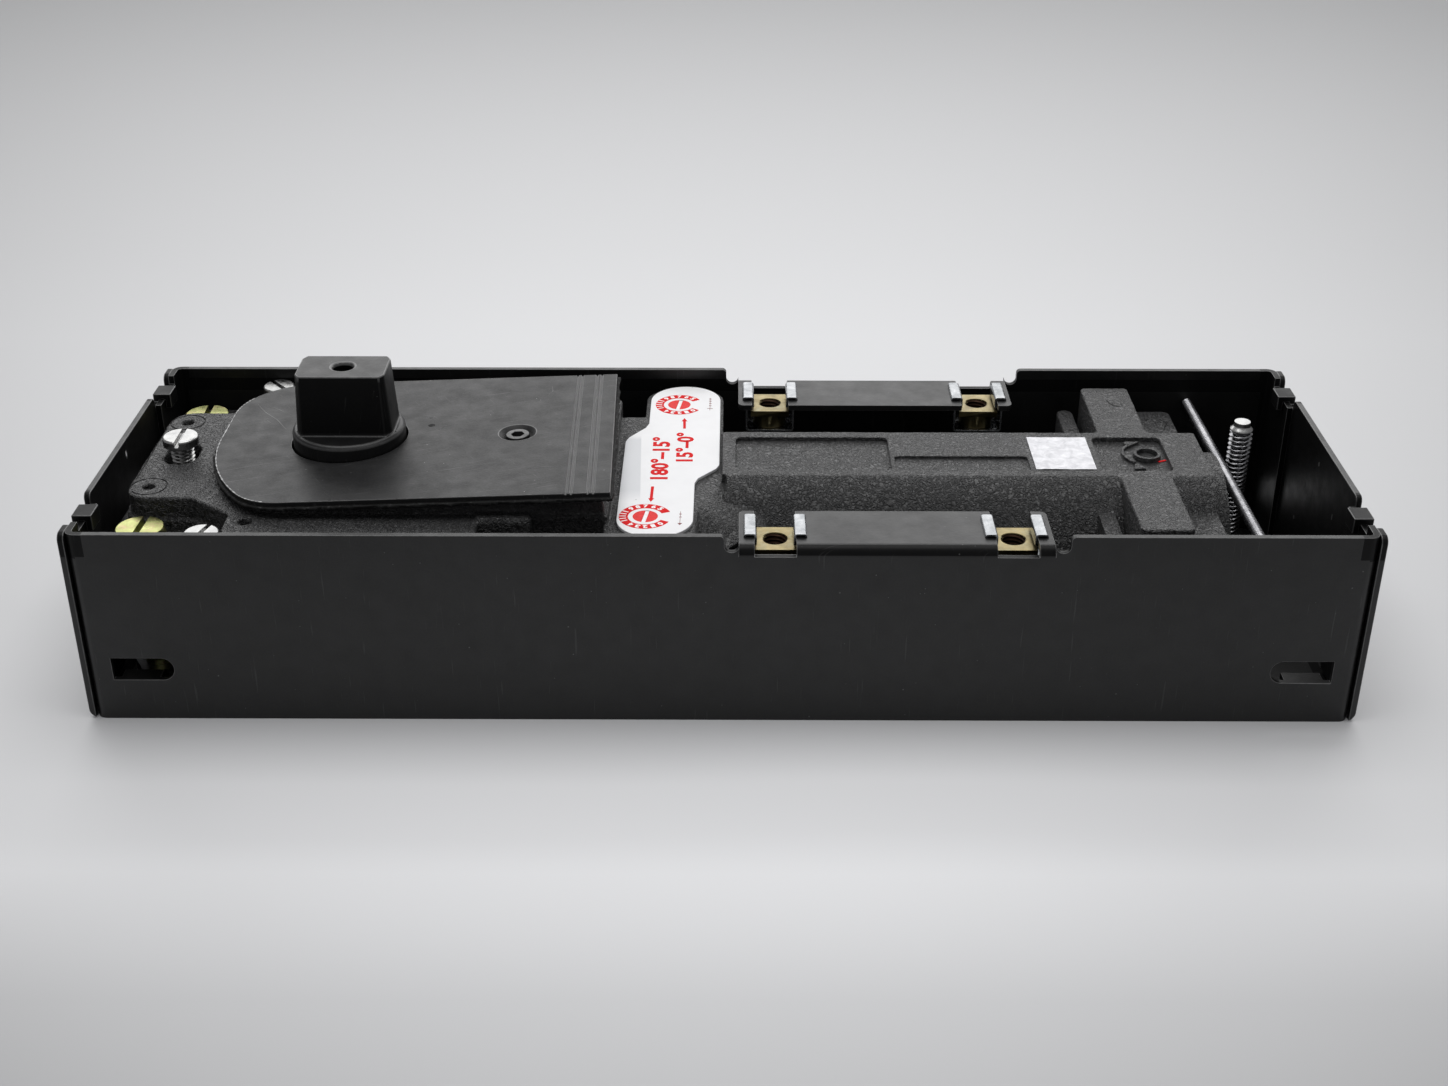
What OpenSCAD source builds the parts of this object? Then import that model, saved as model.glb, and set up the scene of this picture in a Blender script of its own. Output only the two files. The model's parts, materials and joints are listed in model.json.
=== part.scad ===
// Floor spring door closer in its sheet-steel floor case, without the floor plate.
// X runs along the case with the spindle end at -X, Z is up,
// and the origin is the middle of the underside. All sizes are in millimetres.

/* [Case] */
// Length over the two end plates
case_l = 305.4; // [304.8:0.2:306.4]
// Width over the two long walls
case_w = 98; // [97.6:0.2:99.2]
// Height of the long walls
case_h = 50.3; // [50:0.1:51]
// Thickness of the case sheet
sheet_t = 1.5; // [1.2:0.1:1.6]

/* [Floor plate fixing] */
// Distance between the cage nuts along the case
nut_pitch_x = 56; // [55:0.5:57]
// Distance between the cage nuts across the case
nut_pitch_y = 77.6; // [77.2:0.2:78]
// Height of the inward flange that carries the cage nuts
flange_z = 47.4; // [47:0.1:48]

/* [Spindle] */
// Distance from the middle of the case to the spindle axis
spindle_offset = 93.7; // [93:0.1:94.5]
// Top of the spindle block above the underside
spindle_top_z = 71.4; // [70:0.2:74]
// Length of the spindle block along the case, at its top
block_l = 22; // [21:0.5:23]
// Width of the spindle block across the case, at its top
block_w = 13.4; // [12.5:0.1:14]
// Slope of the cover plate, rising towards the tail, in degrees
cover_slope = 2.15; // [2:0.01:2.3]

/* [Cam drive] */
// Distance from spindle axis to roller centre with the door closed
pitch_r0 = 19; // [18.8:0.1:19.4]
// Piston travel for each radian that the spindle turns
lift_per_rad = 4.2; // [4:0.1:4.2]
// Radius of the cam roller
roller_r = 7; // [6.8:0.1:7]
// Radius of the cylinder bore
bore_r = 17; // [16.8:0.1:17.2]

/* [Hidden] */
$fn = 64;
eps = 0.02;

// case: end plates, and the long walls that stand inside them
end_x = case_l / 2;
wall_x = end_x - sheet_t;
wall_y = case_w / 2;
inner_y = wall_y - sheet_t;
bend_r = 2.5;
notch_y0 = 28.4;
notch_y1 = 42.5;
notch_z = 47.3;
hook_y0 = 32;
hook_y1 = 38;
hook_z = 49.5;
hook_low_z = 45.5;
end_flange_z = 47.9;
slot_x0 = 130.5;
slot_x1 = 145.3;
slot_z0 = 11;
slot_z1 = 17;

// inward flange with the cage nuts
nut_mid_x = 40.5;
flange_x0 = 4;
flange_x1 = 77;
flange_y = 30.5;
relief_w = 3.3;
relief_z = 46.1;
nut_slot_w = 9.7;
nut_top_z = 44.4;
m6_minor_r = 2.5;

// closer body
spindle_x = -spindle_offset;
axis_z = 24;
base_z = 3;
body_end_x = 121.5;
cylinder_r = 27;
land_z = 48;
land_hw = 12.2;
neck_z = 46;
neck_x = -28;
lug_z = 47.5;
shelf_z = 38.5;
shelf_under_z = 33;
chamber_r = 26.5;
chamber_z0 = 11;
chamber_z1 = 38;
channel_hw = 14;
housing_r = 36.5;
lid_r = 33.5;
lid_bolt_r = 30;
lid_bolt_angles = [40, 90, 140, 220, 270, 320];
bolt_x = -139;
bolt_y = 32.5;
bolt_r = 3.5;
bolt_head_r = 6.45;
bolt_head_z = 43.7;
level_x = -121.3;
level_y = 42.5;
clamp_x = -136.5;
m6_r = 2.95;
ring_hole_x = -140;
ring_hole_y = 18.6;
lug_hole_x = 115.5;
lug_hole_y = 31;

// sloped cover
cover_z = 51.95;
cover_t = 1.2;
gasket_t = 1.0;
cover_u0 = -33.2;
cover_u1 = 67.6;
cover_skew = 2.2;
cover_hw = 35;
cover_screw_u = 42.2;

// regulating valves and their label
closing_pos = [-11.8, 32];
latch_pos = [-18.2, -32.4];
label_t = 0.8;
valve_r = 4;
valve_fit = 0.03;

// drive
roller_x = spindle_x + pitch_r0;
roller_gap = 0.3;
shaft_r = 9.5;
journal_r = 11;
foot_r = 8;
run_fit = 0.03;
cam_z0 = 18;
cam_z1 = 30;
piston_x0 = -14;
piston_x1 = 16;
seal_x0 = -1;
seal_x1 = 2;
spring_seat_x = 6;
boss_r = 8.3;
ball_seat_x = 8;
plug_x0 = 108;
cap_x1 = 125.3;
cap_r = 22;
rod_x = 128.2;
rod_z = 41;
rod_r = 1.5;
rod_skew = 0.75;
stud_pos = [134.6, 15.8];

case_black = [0.10, 0.10, 0.11];
iron_black = [0.20, 0.20, 0.21];
zinc = [0.80, 0.81, 0.82];
yellow_zinc = [0.78, 0.70, 0.42];
steel = [0.62, 0.63, 0.65];
bronze = [0.66, 0.50, 0.28];
rubber = [0.07, 0.07, 0.07];
red = [0.85, 0.14, 0.12];
white = [0.93, 0.93, 0.93];

// ---------- shared shapes ----------

// Rectangle between two corners with rounded corners
module rounded_rect(x0, x1, y0, y1, r) {
    translate([x0 + r, y0]) square([x1 - x0 - 2 * r, y1 - y0]);
    translate([x0, y0 + r]) square([x1 - x0, y1 - y0 - 2 * r]);
    for (x = [x0 + r, x1 - r], y = [y0 + r, y1 - r]) translate([x, y]) circle(r);
}

// Box between two corners
module box(x0, x1, y0, y1, z0, z1) {
    translate([x0, y0, z0]) cube([x1 - x0, y1 - y0, z1 - z0]);
}

// Plain ring standing on z0
module ring(r_in, r_out, z0, z1) {
    difference() {
        translate([0, 0, z0]) cylinder(r = r_out, h = z1 - z0);
        translate([0, 0, z0 - eps]) cylinder(r = r_in, h = z1 - z0 + 2 * eps);
    }
}

// Quarter of a bent sheet corner: outer radius r, sheet thickness t, in the +X +Y quadrant
module bend_corner(r, t) {
    intersection() {
        difference() {
            circle(r);
            circle(r - t);
        }
        square(r);
    }
}

// Solid cylinder lying along X
module x_cylinder(x0, x1, r) {
    translate([x0, 0, axis_z]) rotate([0, 90, 0]) cylinder(r = r, h = x1 - x0);
}

module both_sides() {
    children();
    mirror([0, 1, 0]) children();
}

module both_ends() {
    children();
    mirror([1, 0, 0]) children();
}

module at_nuts() {
    for (x = [-1, 1] * nut_pitch_x / 2, y = [-1, 1] * nut_pitch_y / 2)
        translate([nut_mid_x + x, y, 0]) children();
}

// Places a shape in the plane of the cover: u along the case from the spindle, top face at 0
module on_slope() {
    translate([spindle_x, 0, cover_z]) rotate([0, -cover_slope, 0]) children();
}

// ---------- case ----------

// Side view of the floor strip with its two upturned end plates
module pan_profile() {
    translate([-end_x + bend_r, 0]) square([case_l - 2 * bend_r, sheet_t]);
    both_ends_2d() {
        translate([end_x - sheet_t, bend_r]) square([sheet_t, case_h - bend_r]);
        translate([end_x - bend_r, bend_r]) mirror([0, 1]) bend_corner(bend_r, sheet_t);
    }
}

module both_ends_2d() {
    children();
    mirror([1, 0]) children();
}

// End plates seen from the end: rounded top corners, and a notch beside each long wall
module end_plate_outline() {
    translate([-wall_y, -1]) square([2 * wall_y, notch_z + 1]);
    rounded_rect(-notch_y0, notch_y0, 40, case_h, 1.6);
    for (s = [0, 1]) mirror([s, 0]) rounded_rect(notch_y1, wall_y, 40, case_h, 2);
}

// Hook bent from an end plate over the top of the wall's end flange
module end_hook() {
    box(wall_x, end_x, hook_y0, hook_y1, notch_z - 1, hook_z);
    box(wall_x - 3.2, end_x, hook_y0, hook_y1, hook_z - sheet_t, hook_z);
    box(wall_x - 3.2, wall_x - 3.2 + sheet_t, hook_y0, hook_y1, hook_low_z, hook_z);
}

module floor_pan() {
    color(case_black) {
        difference() {
            intersection() {
                rotate([90, 0, 0]) linear_extrude(case_w, center = true) pan_profile();
                rotate([90, 0, 90]) linear_extrude(case_l + 2, center = true)
                    end_plate_outline();
            }
            // the long walls stand in these strips
            both_sides() box(-wall_x, wall_x, inner_y, wall_y + 1, -1, case_h + 1);
        }
        both_ends() both_sides() end_hook();
    }
}

// Plan of the front long wall: flat middle, rounded corners and short inward end flanges
module wall_plan() {
    translate([-wall_x + bend_r, -wall_y]) square([2 * (wall_x - bend_r), sheet_t]);
    both_ends_2d() {
        translate([wall_x - sheet_t, -wall_y + bend_r])
            square([sheet_t, wall_y - bend_r - notch_y0]);
        translate([wall_x - bend_r, -wall_y + bend_r]) mirror([0, 1])
            bend_corner(bend_r, sheet_t);
    }
}

// Relief at the left end of the flange: steep sides, round bottom, rounded upper corner
module relief_outline() {
    r = relief_w / 2;
    corner_r = 1.1;
    translate([flange_x0 - r, relief_z + r]) circle(r);
    translate([flange_x0 - 2 * r, relief_z + r]) square([2 * r, case_h]);
    difference() {
        translate([flange_x0 - 2 * r - corner_r, case_h - corner_r]) square(corner_r + 1);
        translate([flange_x0 - 2 * r - corner_r, case_h - corner_r]) circle(corner_r);
    }
}

// Outline cut from the wall's top edge: the flange's place and the reliefs at its ends
module top_cutout() {
    translate([flange_x0, flange_z - bend_r])
        square([flange_x1 - flange_x0, case_h - flange_z + bend_r + 1]);
    relief_outline();
    translate([flange_x0 + flange_x1, 0]) mirror([1, 0]) relief_outline();
}

// End view of the flange and its bend, for the front wall
module flange_profile() {
    translate([-wall_y + bend_r, flange_z - sheet_t])
        square([wall_y - bend_r - flange_y, sheet_t]);
    translate([-wall_y + bend_r, flange_z - bend_r]) mirror([1, 0])
        bend_corner(bend_r, sheet_t);
}

// Long wall with its flange, nut slots, anchor slots and the tabs lanced inwards below them
module long_wall() {
    difference() {
        union() {
            difference() {
                linear_extrude(case_h) wall_plan();
                translate([0, -inner_y + 1, 0]) rotate([90, 0, 0])
                    linear_extrude(sheet_t + 2) top_cutout();
            }
            translate([flange_x0, 0, 0]) rotate([90, 0, 90])
                linear_extrude(flange_x1 - flange_x0) flange_profile();
        }
        // the end flanges and corner bends stop just above the bent-up floor
        box(-wall_x - 1, wall_x + 1, -inner_y, 0, -1, bend_r + 0.1);
        // slots that hold the cage nuts, open to the inner edge
        for (x = [-1, 1] * nut_pitch_x / 2)
            box(nut_mid_x + x - nut_slot_w / 2, nut_mid_x + x + nut_slot_w / 2,
                -wall_y - 1, -flange_y + 1, flange_z - bend_r, flange_z + 1);
        // rounded inner corners of the two outer ears
        for (side = [0, 1])
            translate([side ? flange_x1 : flange_x0, -flange_y, flange_z - 3])
                mirror([side, 0, 0]) difference() {
                    translate([-1, -1.5, 0]) cube([2.5, 2.5, 5]);
                    translate([1.5, -1.5, -1]) cylinder(r = 1.5, h = 7);
                }
        // anchor slots near the bottom: square outer end, round inner end
        both_ends() {
            r = (slot_z1 - slot_z0) / 2;
            box(slot_x0 + r, slot_x1, -wall_y - 1, -inner_y + 1, slot_z0, slot_z1);
            translate([slot_x0 + r, -inner_y + 1, slot_z0 + r]) rotate([90, 0, 0])
                cylinder(r = r, h = sheet_t + 2);
        }
        // the end flanges are lower where the end plates' hooks pass over them
        both_ends() box(wall_x - bend_r, wall_x + 1, -notch_y1, 0, end_flange_z, case_h + 1);
    }
    // tabs lanced inwards at the lower edge of each anchor slot
    both_ends() box(slot_x0 + 4, slot_x1 - 1.5, -inner_y - 0.3, -inner_y + 3.2,
        slot_z0 - sheet_t, slot_z0);
}

module front_wall() color(case_black) long_wall();

module back_wall() color(case_black) mirror([0, 1, 0]) long_wall();

// Square nut with a round collar below it, loose in its cage
module cage_nuts() {
    color(yellow_zinc) at_nuts() difference() {
        union() {
            translate([-5.1, -5.6, nut_top_z - 1.6]) cube([10.2, 11.2, 1.6]);
            translate([0, 0, nut_top_z - 5.6]) cylinder(r = 4.4, h = 4.2);
        }
        translate([0, 0, nut_top_z - 7]) cylinder(r = m6_minor_r, h = 8);
        translate([0, 0, nut_top_z - 0.6])
            cylinder(r1 = m6_minor_r, r2 = m6_minor_r + 0.7, h = 0.7);
    }
}

// End view of one half of a spring cage: floor, side, shoulder, neck and hook over the flange
module clip_half_profile() {
    t = 0.5;
    floor_z = nut_top_z - 6.2;
    shoulder_z = flange_z - sheet_t - 0.1;
    neck = nut_slot_w / 2 - 0.05;
    hook_z = flange_z + 0.05;
    hook_r = 0.8;
    hook_w = 1.5;
    translate([0, floor_z]) square([5.5, t]);
    translate([5.5, floor_z + 1]) mirror([0, 1]) bend_corner(1, t);
    translate([6.5 - t, floor_z + 1]) square([t, shoulder_z - floor_z - 1]);
    translate([neck - t, shoulder_z - t]) square([6.5 - neck + t, t]);
    translate([neck - t, shoulder_z - t]) square([t, hook_z - shoulder_z + t]);
    translate([neck - t + hook_r, hook_z]) mirror([1, 0]) bend_corner(hook_r, t);
    translate([neck - t + hook_r, hook_z + hook_r - t]) square([hook_w, t]);
    translate([neck - t + hook_r + hook_w, hook_z]) bend_corner(hook_r, t);
}

module cage_clips() {
    color(zinc) at_nuts() difference() {
        translate([0, 5.1, 0]) rotate([90, 0, 0]) linear_extrude(10.2) {
            clip_half_profile();
            mirror([1, 0]) clip_half_profile();
        }
        // hole in the cage floor for the end of the screw
        translate([0, 0, nut_top_z - 8]) cylinder(r = 3.4, h = 4);
    }
}

// Hexagon nuts welded to the floor for the two fixing bolts and the clamp screw
module weld_nuts() {
    color(steel) {
        both_sides() translate([bolt_x, bolt_y, sheet_t]) hex_nut(6.35, bolt_r + 0.03, 5.5);
        translate([clamp_x, 0, sheet_t]) hex_nut(5.75, m6_r + 0.03, 5);
    }
}

module hex_nut(r, bore, h) {
    difference() {
        cylinder(r = r, h = h, $fn = 6);
        translate([0, 0, -1]) cylinder(r = bore, h = h + 2);
    }
}

// Low bridge under the tail of the cylinder
module tail_saddle() {
    color(case_black) difference() {
        box(96, 112, -18, 18, sheet_t, base_z);
        box(100, 108, -19, 19, sheet_t - 1, sheet_t + 1.2);
    }
}

module tail_stud() {
    color(zinc) translate([stud_pos[0], stud_pos[1], sheet_t]) {
        cylinder(r = 3, h = case_h - sheet_t - 2.6);
        translate([0, 0, case_h - sheet_t - 2.6]) cylinder(r1 = 3, r2 = 2.1, h = 0.9);
        translate([0, 0, case_h - sheet_t - 1.7]) cylinder(r = 2.1, h = 1.2);
    }
}

// Threaded rod from wall to wall behind the end plug
module cross_rod() {
    color(zinc) translate([rod_x, 0, rod_z]) rotate([90, 0, rod_skew])
        cylinder(r = rod_r, h = 2 * inner_y - 0.1, center = true);
}

// ---------- closer body ----------

// Plan of the raised lug plate at the spindle end, grown outwards by g
module lug_plan(g) {
    rounded_rect(-144.8 - g, -124, -24.8 - g, 24.8 + g, 6 + g);
    both_sides_2d() polygon([
        [-134, 0], [-134, 24.8 + g], [-128 - g / 3, 24.8 + g],
        [-117.2 - g / 3, 33 + g], [-110, 33 + g], [-110, 0]
    ]);
}

module both_sides_2d() {
    children();
    mirror([0, 1]) children();
}

// Plan of the wide top plate that carries the cover
module top_plate_plan() {
    rounded_rect(-117.2, neck_x + 1, -34, 34, 1);
    rounded_rect(-117.2, -57.5, -46, 46, 1.5);
    rounded_rect(-60, -45, -37, 37, 1);
}

// Plan of the shelf for the fixing bolts and levelling screws
module shelf_plan() {
    rounded_rect(-148, -112, -46.6, 46.6, 4);
}

// End view of the cylinder casting, flattened on top and underneath
module cylinder_profile(top_z) {
    intersection() {
        translate([0, axis_z]) circle(cylinder_r);
        translate([-30, base_z]) square([60, top_z - base_z]);
    }
    translate([-land_hw, axis_z]) square([2 * land_hw, top_z - axis_z]);
}

module cylinder_length(x0, x1, top_z) {
    translate([x0, 0, 0]) rotate([90, 0, 90]) linear_extrude(x1 - x0) cylinder_profile(top_z);
}

// Plan of the wings that hold the two regulating valves
module valve_wings_plan() {
    rounded_rect(neck_x, -5.8, -43.4, 0, 6);
    rounded_rect(-20.6, 0, 0, 43.4, 6);
    rounded_rect(neck_x, 0, -26, 26, 3);
}

// Web that runs from the front valve wing down to the cylinder, hollowed by a large radius
module wing_flare() {
    difference() {
        box(-8, 11, -43, -20, 38, 45.6);
        translate([13.5, -46, 20]) cylinder(r = 17.5, h = 30);
        translate([-7, -30, 45.6]) rotate([9, 20, 0]) translate([-20, -40, 0]) cube([60, 80, 30]);
    }
}

// Outline of the cover in its own plane, grown outwards by g. Its front corner is a
// quarter oval of two arcs that meet where their common radius crosses the outline.
module cover_outline(g) {
    back_r = 18;
    oval_u = cover_u0 + 22;
    oval_v = 2;
    small_r = 14;
    small_v = -cover_hw + small_r;
    dv = oval_v - small_v;
    large_r = (22 * 22 + dv * dv - small_r * small_r) / (2 * (22 - small_r));
    large_u = cover_u0 + large_r;
    radius_line = [oval_u - large_u, small_v - oval_v];
    meet = [large_u, oval_v] + radius_line * (large_r + 20) / norm(radius_line);
    w = cover_hw + g;
    polygon([
        [oval_u, -w], [cover_u1 + g, -w], [cover_u1 - cover_skew + g, w],
        [cover_u0 + back_r, w], [cover_u0 + back_r, 0], [oval_u, 0]
    ]);
    translate([cover_u0 - g, oval_v]) square([back_r + 1, cover_hw - back_r - oval_v]);
    translate([cover_u0 + back_r, cover_hw - back_r]) circle(back_r + g);
    translate([oval_u, small_v]) circle(small_r + g);
    intersection() {
        translate([large_u, oval_v]) circle(large_r + g);
        polygon([[large_u, oval_v], meet, [cover_u0 - 20, -30], [cover_u0 - 20, oval_v]]);
    }
    polygon([[cover_u0 + 5, oval_v], [large_u, oval_v], [large_u, small_v], [oval_u, small_v]]);
}

// Rim that carries the gasket, and the boss of the cover screw, under the slope of the cover
module cover_rim() {
    on_slope() translate([0, 0, -cover_t - gasket_t - 9]) {
        linear_extrude(9) difference() {
            cover_outline(-2);
            cover_outline(-6.5);
        }
        translate([cover_screw_u, 0, 0]) cylinder(r = 6.5, h = 9);
    }
}

// For each valve: its stepped bore, the port into the cylinder, and the way back to the spring side
module oilways() {
    back_x = 36;
    way_y = 22;
    way_z = 33;
    for (p = [closing_pos, latch_pos]) {
        s = sign(p[1]);
        translate([p[0], p[1], 27]) cylinder(r = valve_r, h = 25);
        translate([p[0], p[1], 20.5]) cylinder(r = 2.7, h = 8);
        translate([p[0], s * (bore_r - 2), axis_z]) rotate([-90 * s, 0, 0])
            cylinder(r = 1.2, h = abs(p[1]) - bore_r + 2);
        translate([p[0], s * way_y, way_z]) rotate([-90 * s, 0, 0])
            cylinder(r = 1.5, h = abs(p[1]) - way_y);
        translate([p[0] - 1.5, s * way_y, way_z]) rotate([0, 90, 0])
            cylinder(r = 1.5, h = back_x - p[0] + 3);
        translate([back_x, s * 12, way_z]) rotate([-90 * s, 0, 0])
            cylinder(r = 1.5, h = way_y - 12);
    }
}

// Recesses cast into the land and the tail
module land_recesses() {
    translate([0, 0, land_z - 0.9]) linear_extrude(2) rounded_rect(3.4, 42, -9.3, 9.3, 1.5);
    translate([0, 0, land_z - 0.6]) linear_extrude(2) rounded_rect(43.2, 76.5, -9.6, -1.6, 1);
    translate([0, 0, land_z - 1.2]) linear_extrude(2) rounded_rect(94.6, 111.8, -9.6, 9.6, 1.5);
}

// Outside of the casting
module body_outside() {
    translate([0, 0, shelf_z - 1]) linear_extrude(lug_z - shelf_z + 1) lug_plan(0);
    translate([0, 0, shelf_z - 1]) linear_extrude(4.3) lug_plan(1);
    translate([0, 0, shelf_under_z]) linear_extrude(shelf_z - shelf_under_z) shelf_plan();
    translate([0, 0, 41.5]) linear_extrude(lug_z - 41.5) top_plate_plan();
    translate([spindle_x, 0, base_z]) cylinder(r = housing_r, h = 42 - base_z);
    box(spindle_x, neck_x + 4, -20, 20, base_z, 42);
    intersection() {
        cover_rim();
        box(-150, 0, -50, 50, lug_z - 1, 60);
    }
    // low pads on the plate's ledges behind the cover
    for (s = [0, 1]) mirror([0, s, 0]) translate([0, 0, lug_z - 1]) linear_extrude(1.8)
        rounded_rect(-58, -45.4, 30, 36.6, 1);
    cylinder_length(neck_x + 2, 0, neck_z);
    cylinder_length(0, body_end_x, land_z);
    translate([0, 0, 18]) linear_extrude(neck_z - 18) valve_wings_plan();
    wing_flare();
    // cross lug with its back arm a little towards the spindle, its lower steps and ribs
    translate([0, 0, 26]) linear_extrude(land_z - 26) rounded_rect(98, 110.7, -41, 5, 1.5);
    translate([0, 0, 26]) linear_extrude(land_z - 26) rounded_rect(96.6, 109.3, -5, 41, 1.5);
    translate([0, 0, 26]) linear_extrude(41.5 - 26) rounded_rect(108, 121, -40, 40, 1.5);
    translate([0, 0, 26]) linear_extrude(41.8 - 26) rounded_rect(91.8, 96, -40, 5, 1.8);
    translate([0, 0, 26]) linear_extrude(41.8 - 26) rounded_rect(90.5, 94.7, -5, 40, 1.8);
}

// Chamber, cylinder bore and all drilled or cast holes
module body_inside() {
    translate([spindle_x, 0, 0]) {
        translate([0, 0, chamber_z0 - 1]) cylinder(r = chamber_r, h = chamber_z1 - chamber_z0 + 1);
        translate([0, 0, base_z - 1]) cylinder(r = lid_r + 0.1, h = chamber_z0 - base_z + 1);
        translate([0, 0, chamber_z1 - 1]) cylinder(r = 15, h = 20);
        for (a = lid_bolt_angles)
            rotate(a) translate([lid_bolt_r, 0, chamber_z0 - 1]) cylinder(r = 2, h = 10);
    }
    box(spindle_x, -22, -channel_hw, channel_hw, chamber_z0, chamber_z1);
    x_cylinder(-24, body_end_x + 1, bore_r);
    oilways();
    both_sides() {
        translate([bolt_x, bolt_y, 30]) cylinder(r = bolt_r + 0.5, h = 15);
        translate([level_x, level_y, 30]) cylinder(r = 3, h = 15);
        translate([level_x, level_y, shelf_z]) cylinder(r = 4.6, h = 15);
        translate([ring_hole_x, ring_hole_y, lug_z - 8]) cylinder(r = 1.5, h = 9);
        translate([ring_hole_x, ring_hole_y, lug_z - 0.4]) ring(4.2, 4.6, 0, 1);
        translate([lug_hole_x, lug_hole_y, 25]) cylinder(r = 3.4, h = 20);
        translate([-112.4, 36.6, lug_z - 5]) cylinder(r = 1.6, h = 6);
    }
    // slot across the lug for the clamp screw
    for (y = [-2, 2]) translate([clamp_x, y, 30]) cylinder(r = 4.1, h = 20);
    box(clamp_x - 4.1, clamp_x + 4.1, -2, 2, 30, 50);
    on_slope() translate([cover_screw_u, 0, -14]) cylinder(r = 2.5, h = 16);
    land_recesses();
}

module closer_body() {
    color(iron_black) difference() {
        body_outside();
        body_inside();
    }
}

// Bottom lid of the cam chamber, with the seat of the lower bearing
module chamber_lid() {
    color(iron_black) translate([spindle_x, 0, 0]) difference() {
        union() {
            translate([0, 0, base_z + 0.5]) cylinder(r = lid_r, h = chamber_z0 - base_z - 0.5);
            translate([0, 0, chamber_z0]) cylinder(r = 14, h = 1.6);
        }
        translate([0, 0, 6]) cylinder(r = 11, h = 10);
        for (a = lid_bolt_angles) rotate(a) translate([lid_bolt_r, 0, base_z]) {
            cylinder(r = 2.1, h = 10);
            cylinder(r = 3.6, h = 8.65 - base_z);
        }
    }
}

module lid_screws() {
    color(steel) translate([spindle_x, 0, 0]) for (a = lid_bolt_angles)
        rotate(a) translate([lid_bolt_r, 0, 0]) difference() {
            union() {
                translate([0, 0, 4.8]) cylinder(r = 3.5, h = 3.8);
                translate([0, 0, 8.6]) cylinder(r = 1.98, h = 9);
            }
            translate([0, 0, 4]) cylinder(r = 1.7, h = 2.8, $fn = 6);
        }
}

// ---------- spindle, cam and bearings ----------

module upper_bearing() {
    color(bronze) translate([spindle_x, 0, 0]) ring(journal_r + run_fit, 15, 38.5, 43.5);
}

module lower_bearing() {
    color(bronze) translate([spindle_x, 0, 0]) ring(foot_r + run_fit, 11, 6, 12.4);
}

module shaft_seal() {
    color(rubber) translate([spindle_x, 0, 0]) ring(journal_r + run_fit, 15, 43.5, 47.3);
}

// Stepped shaft with a square socket for the spindle block and a keyway for the cam
module cam_shaft() {
    color(steel) translate([spindle_x, 0, 0]) difference() {
        union() {
            translate([0, 0, 6.3]) cylinder(r = foot_r, h = 7);
            translate([0, 0, 13]) cylinder(r = shaft_r, h = 22.5);
            translate([0, 0, 35.5]) cylinder(r = journal_r, h = 15);
        }
        translate([-6.5, -6.5, 38]) cube([13, 13, 20]);
        box(-shaft_r - 1, -shaft_r + 2.5, -2.5, 2.5, cam_z0, cam_z1);
    }
}

// One point of the cam flank: the roller's path, moved inwards by the roller radius
function flank_point(a) =
    let (
        r = pitch_r0 + lift_per_rad * a * PI / 180,
        n = norm([r, lift_per_rad]),
        inset = roller_r + roller_gap,
        inward = [-(lift_per_rad * sin(a) + r * cos(a)), lift_per_rad * cos(a) - r * sin(a)] / n
    )
    r * [cos(a), sin(a)] + inset * inward;

// Heart-shaped plate cam: two spiral flanks, a round nest for the roller and a blunt nose
module cam_outline() {
    last = 174;
    flank = [for (a = [0 : 6 : last]) flank_point(a)];
    count = len(flank);
    nest_a = atan2(lift_per_rad, pitch_r0);
    nest = [for (i = [2 : -1 : -2]) [pitch_r0, 0]
        - (roller_r + roller_gap) * [cos(i * nest_a / 3), sin(i * nest_a / 3)]];
    polygon(concat(
        [for (p = flank) p],
        [for (i = [count - 1 : -1 : 0]) [flank[i][0], -flank[i][1]]],
        nest
    ));
}

module heart_cam() {
    color(steel) translate([spindle_x, 0, cam_z0]) difference() {
        linear_extrude(cam_z1 - cam_z0) cam_outline();
        translate([0, 0, -1]) cylinder(r = shaft_r, h = 20);
        box(-shaft_r - 2.5, 0, -2.5, 2.5, -1, 20);
    }
}

module cam_key() {
    color(steel) translate([spindle_x, 0, 0])
        box(-shaft_r - 2.5, -shaft_r + 2.5, -2.5, 2.5, cam_z0, cam_z1);
}

// Tapered drive block on a round collar, with a square tang below and a threaded hole on top
module spindle_insert() {
    foot_z = 55.8;
    h = spindle_top_z - foot_z;
    color(case_black) translate([spindle_x, 0, 0]) difference() {
        union() {
            translate([-6.45, -6.45, 38.2]) cube([12.9, 12.9, 12.5]);
            translate([0, 0, 50.5]) cylinder(r = 14, h = foot_z - 50.5 - 0.8);
            translate([0, 0, foot_z - 0.8]) cylinder(r1 = 14, r2 = 13.2, h = 0.8);
            intersection() {
                translate([0, 20, foot_z - 0.4]) rotate([90, 0, 0]) linear_extrude(40)
                    taper_profile(block_l / 2 + 0.9, block_l / 2, h + 0.4);
                translate([-20, 0, foot_z - 0.4]) rotate([90, 0, 90]) linear_extrude(40)
                    taper_profile(block_w / 2 + 0.9, block_w / 2, h + 0.4);
                translate([0, 0, foot_z - 0.4])
                    cylinder(r1 = 12.9, r2 = 12, h = h + 0.4);
            }
        }
        translate([0, 0, spindle_top_z - 14]) cylinder(r = m6_minor_r, h = 15);
        translate([0, 0, spindle_top_z - 0.5]) cylinder(r1 = 2.5, r2 = 3.1, h = 0.6);
    }
}

// Symmetric trapezium from half width a at the foot to half width b at height h
module taper_profile(a, b, h) {
    polygon([[-a, 0], [a, 0], [b, h], [-b, h]]);
}

// ---------- piston group ----------

module cam_roller() {
    color(steel) translate([roller_x, 0, 0]) ring(3 + run_fit, roller_r, cam_z0 + 0.4, cam_z1 - 0.4);
}

module roller_pin() {
    color(steel) translate([roller_x, 0, 13.5]) cylinder(r = 3, h = 21);
}

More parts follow.
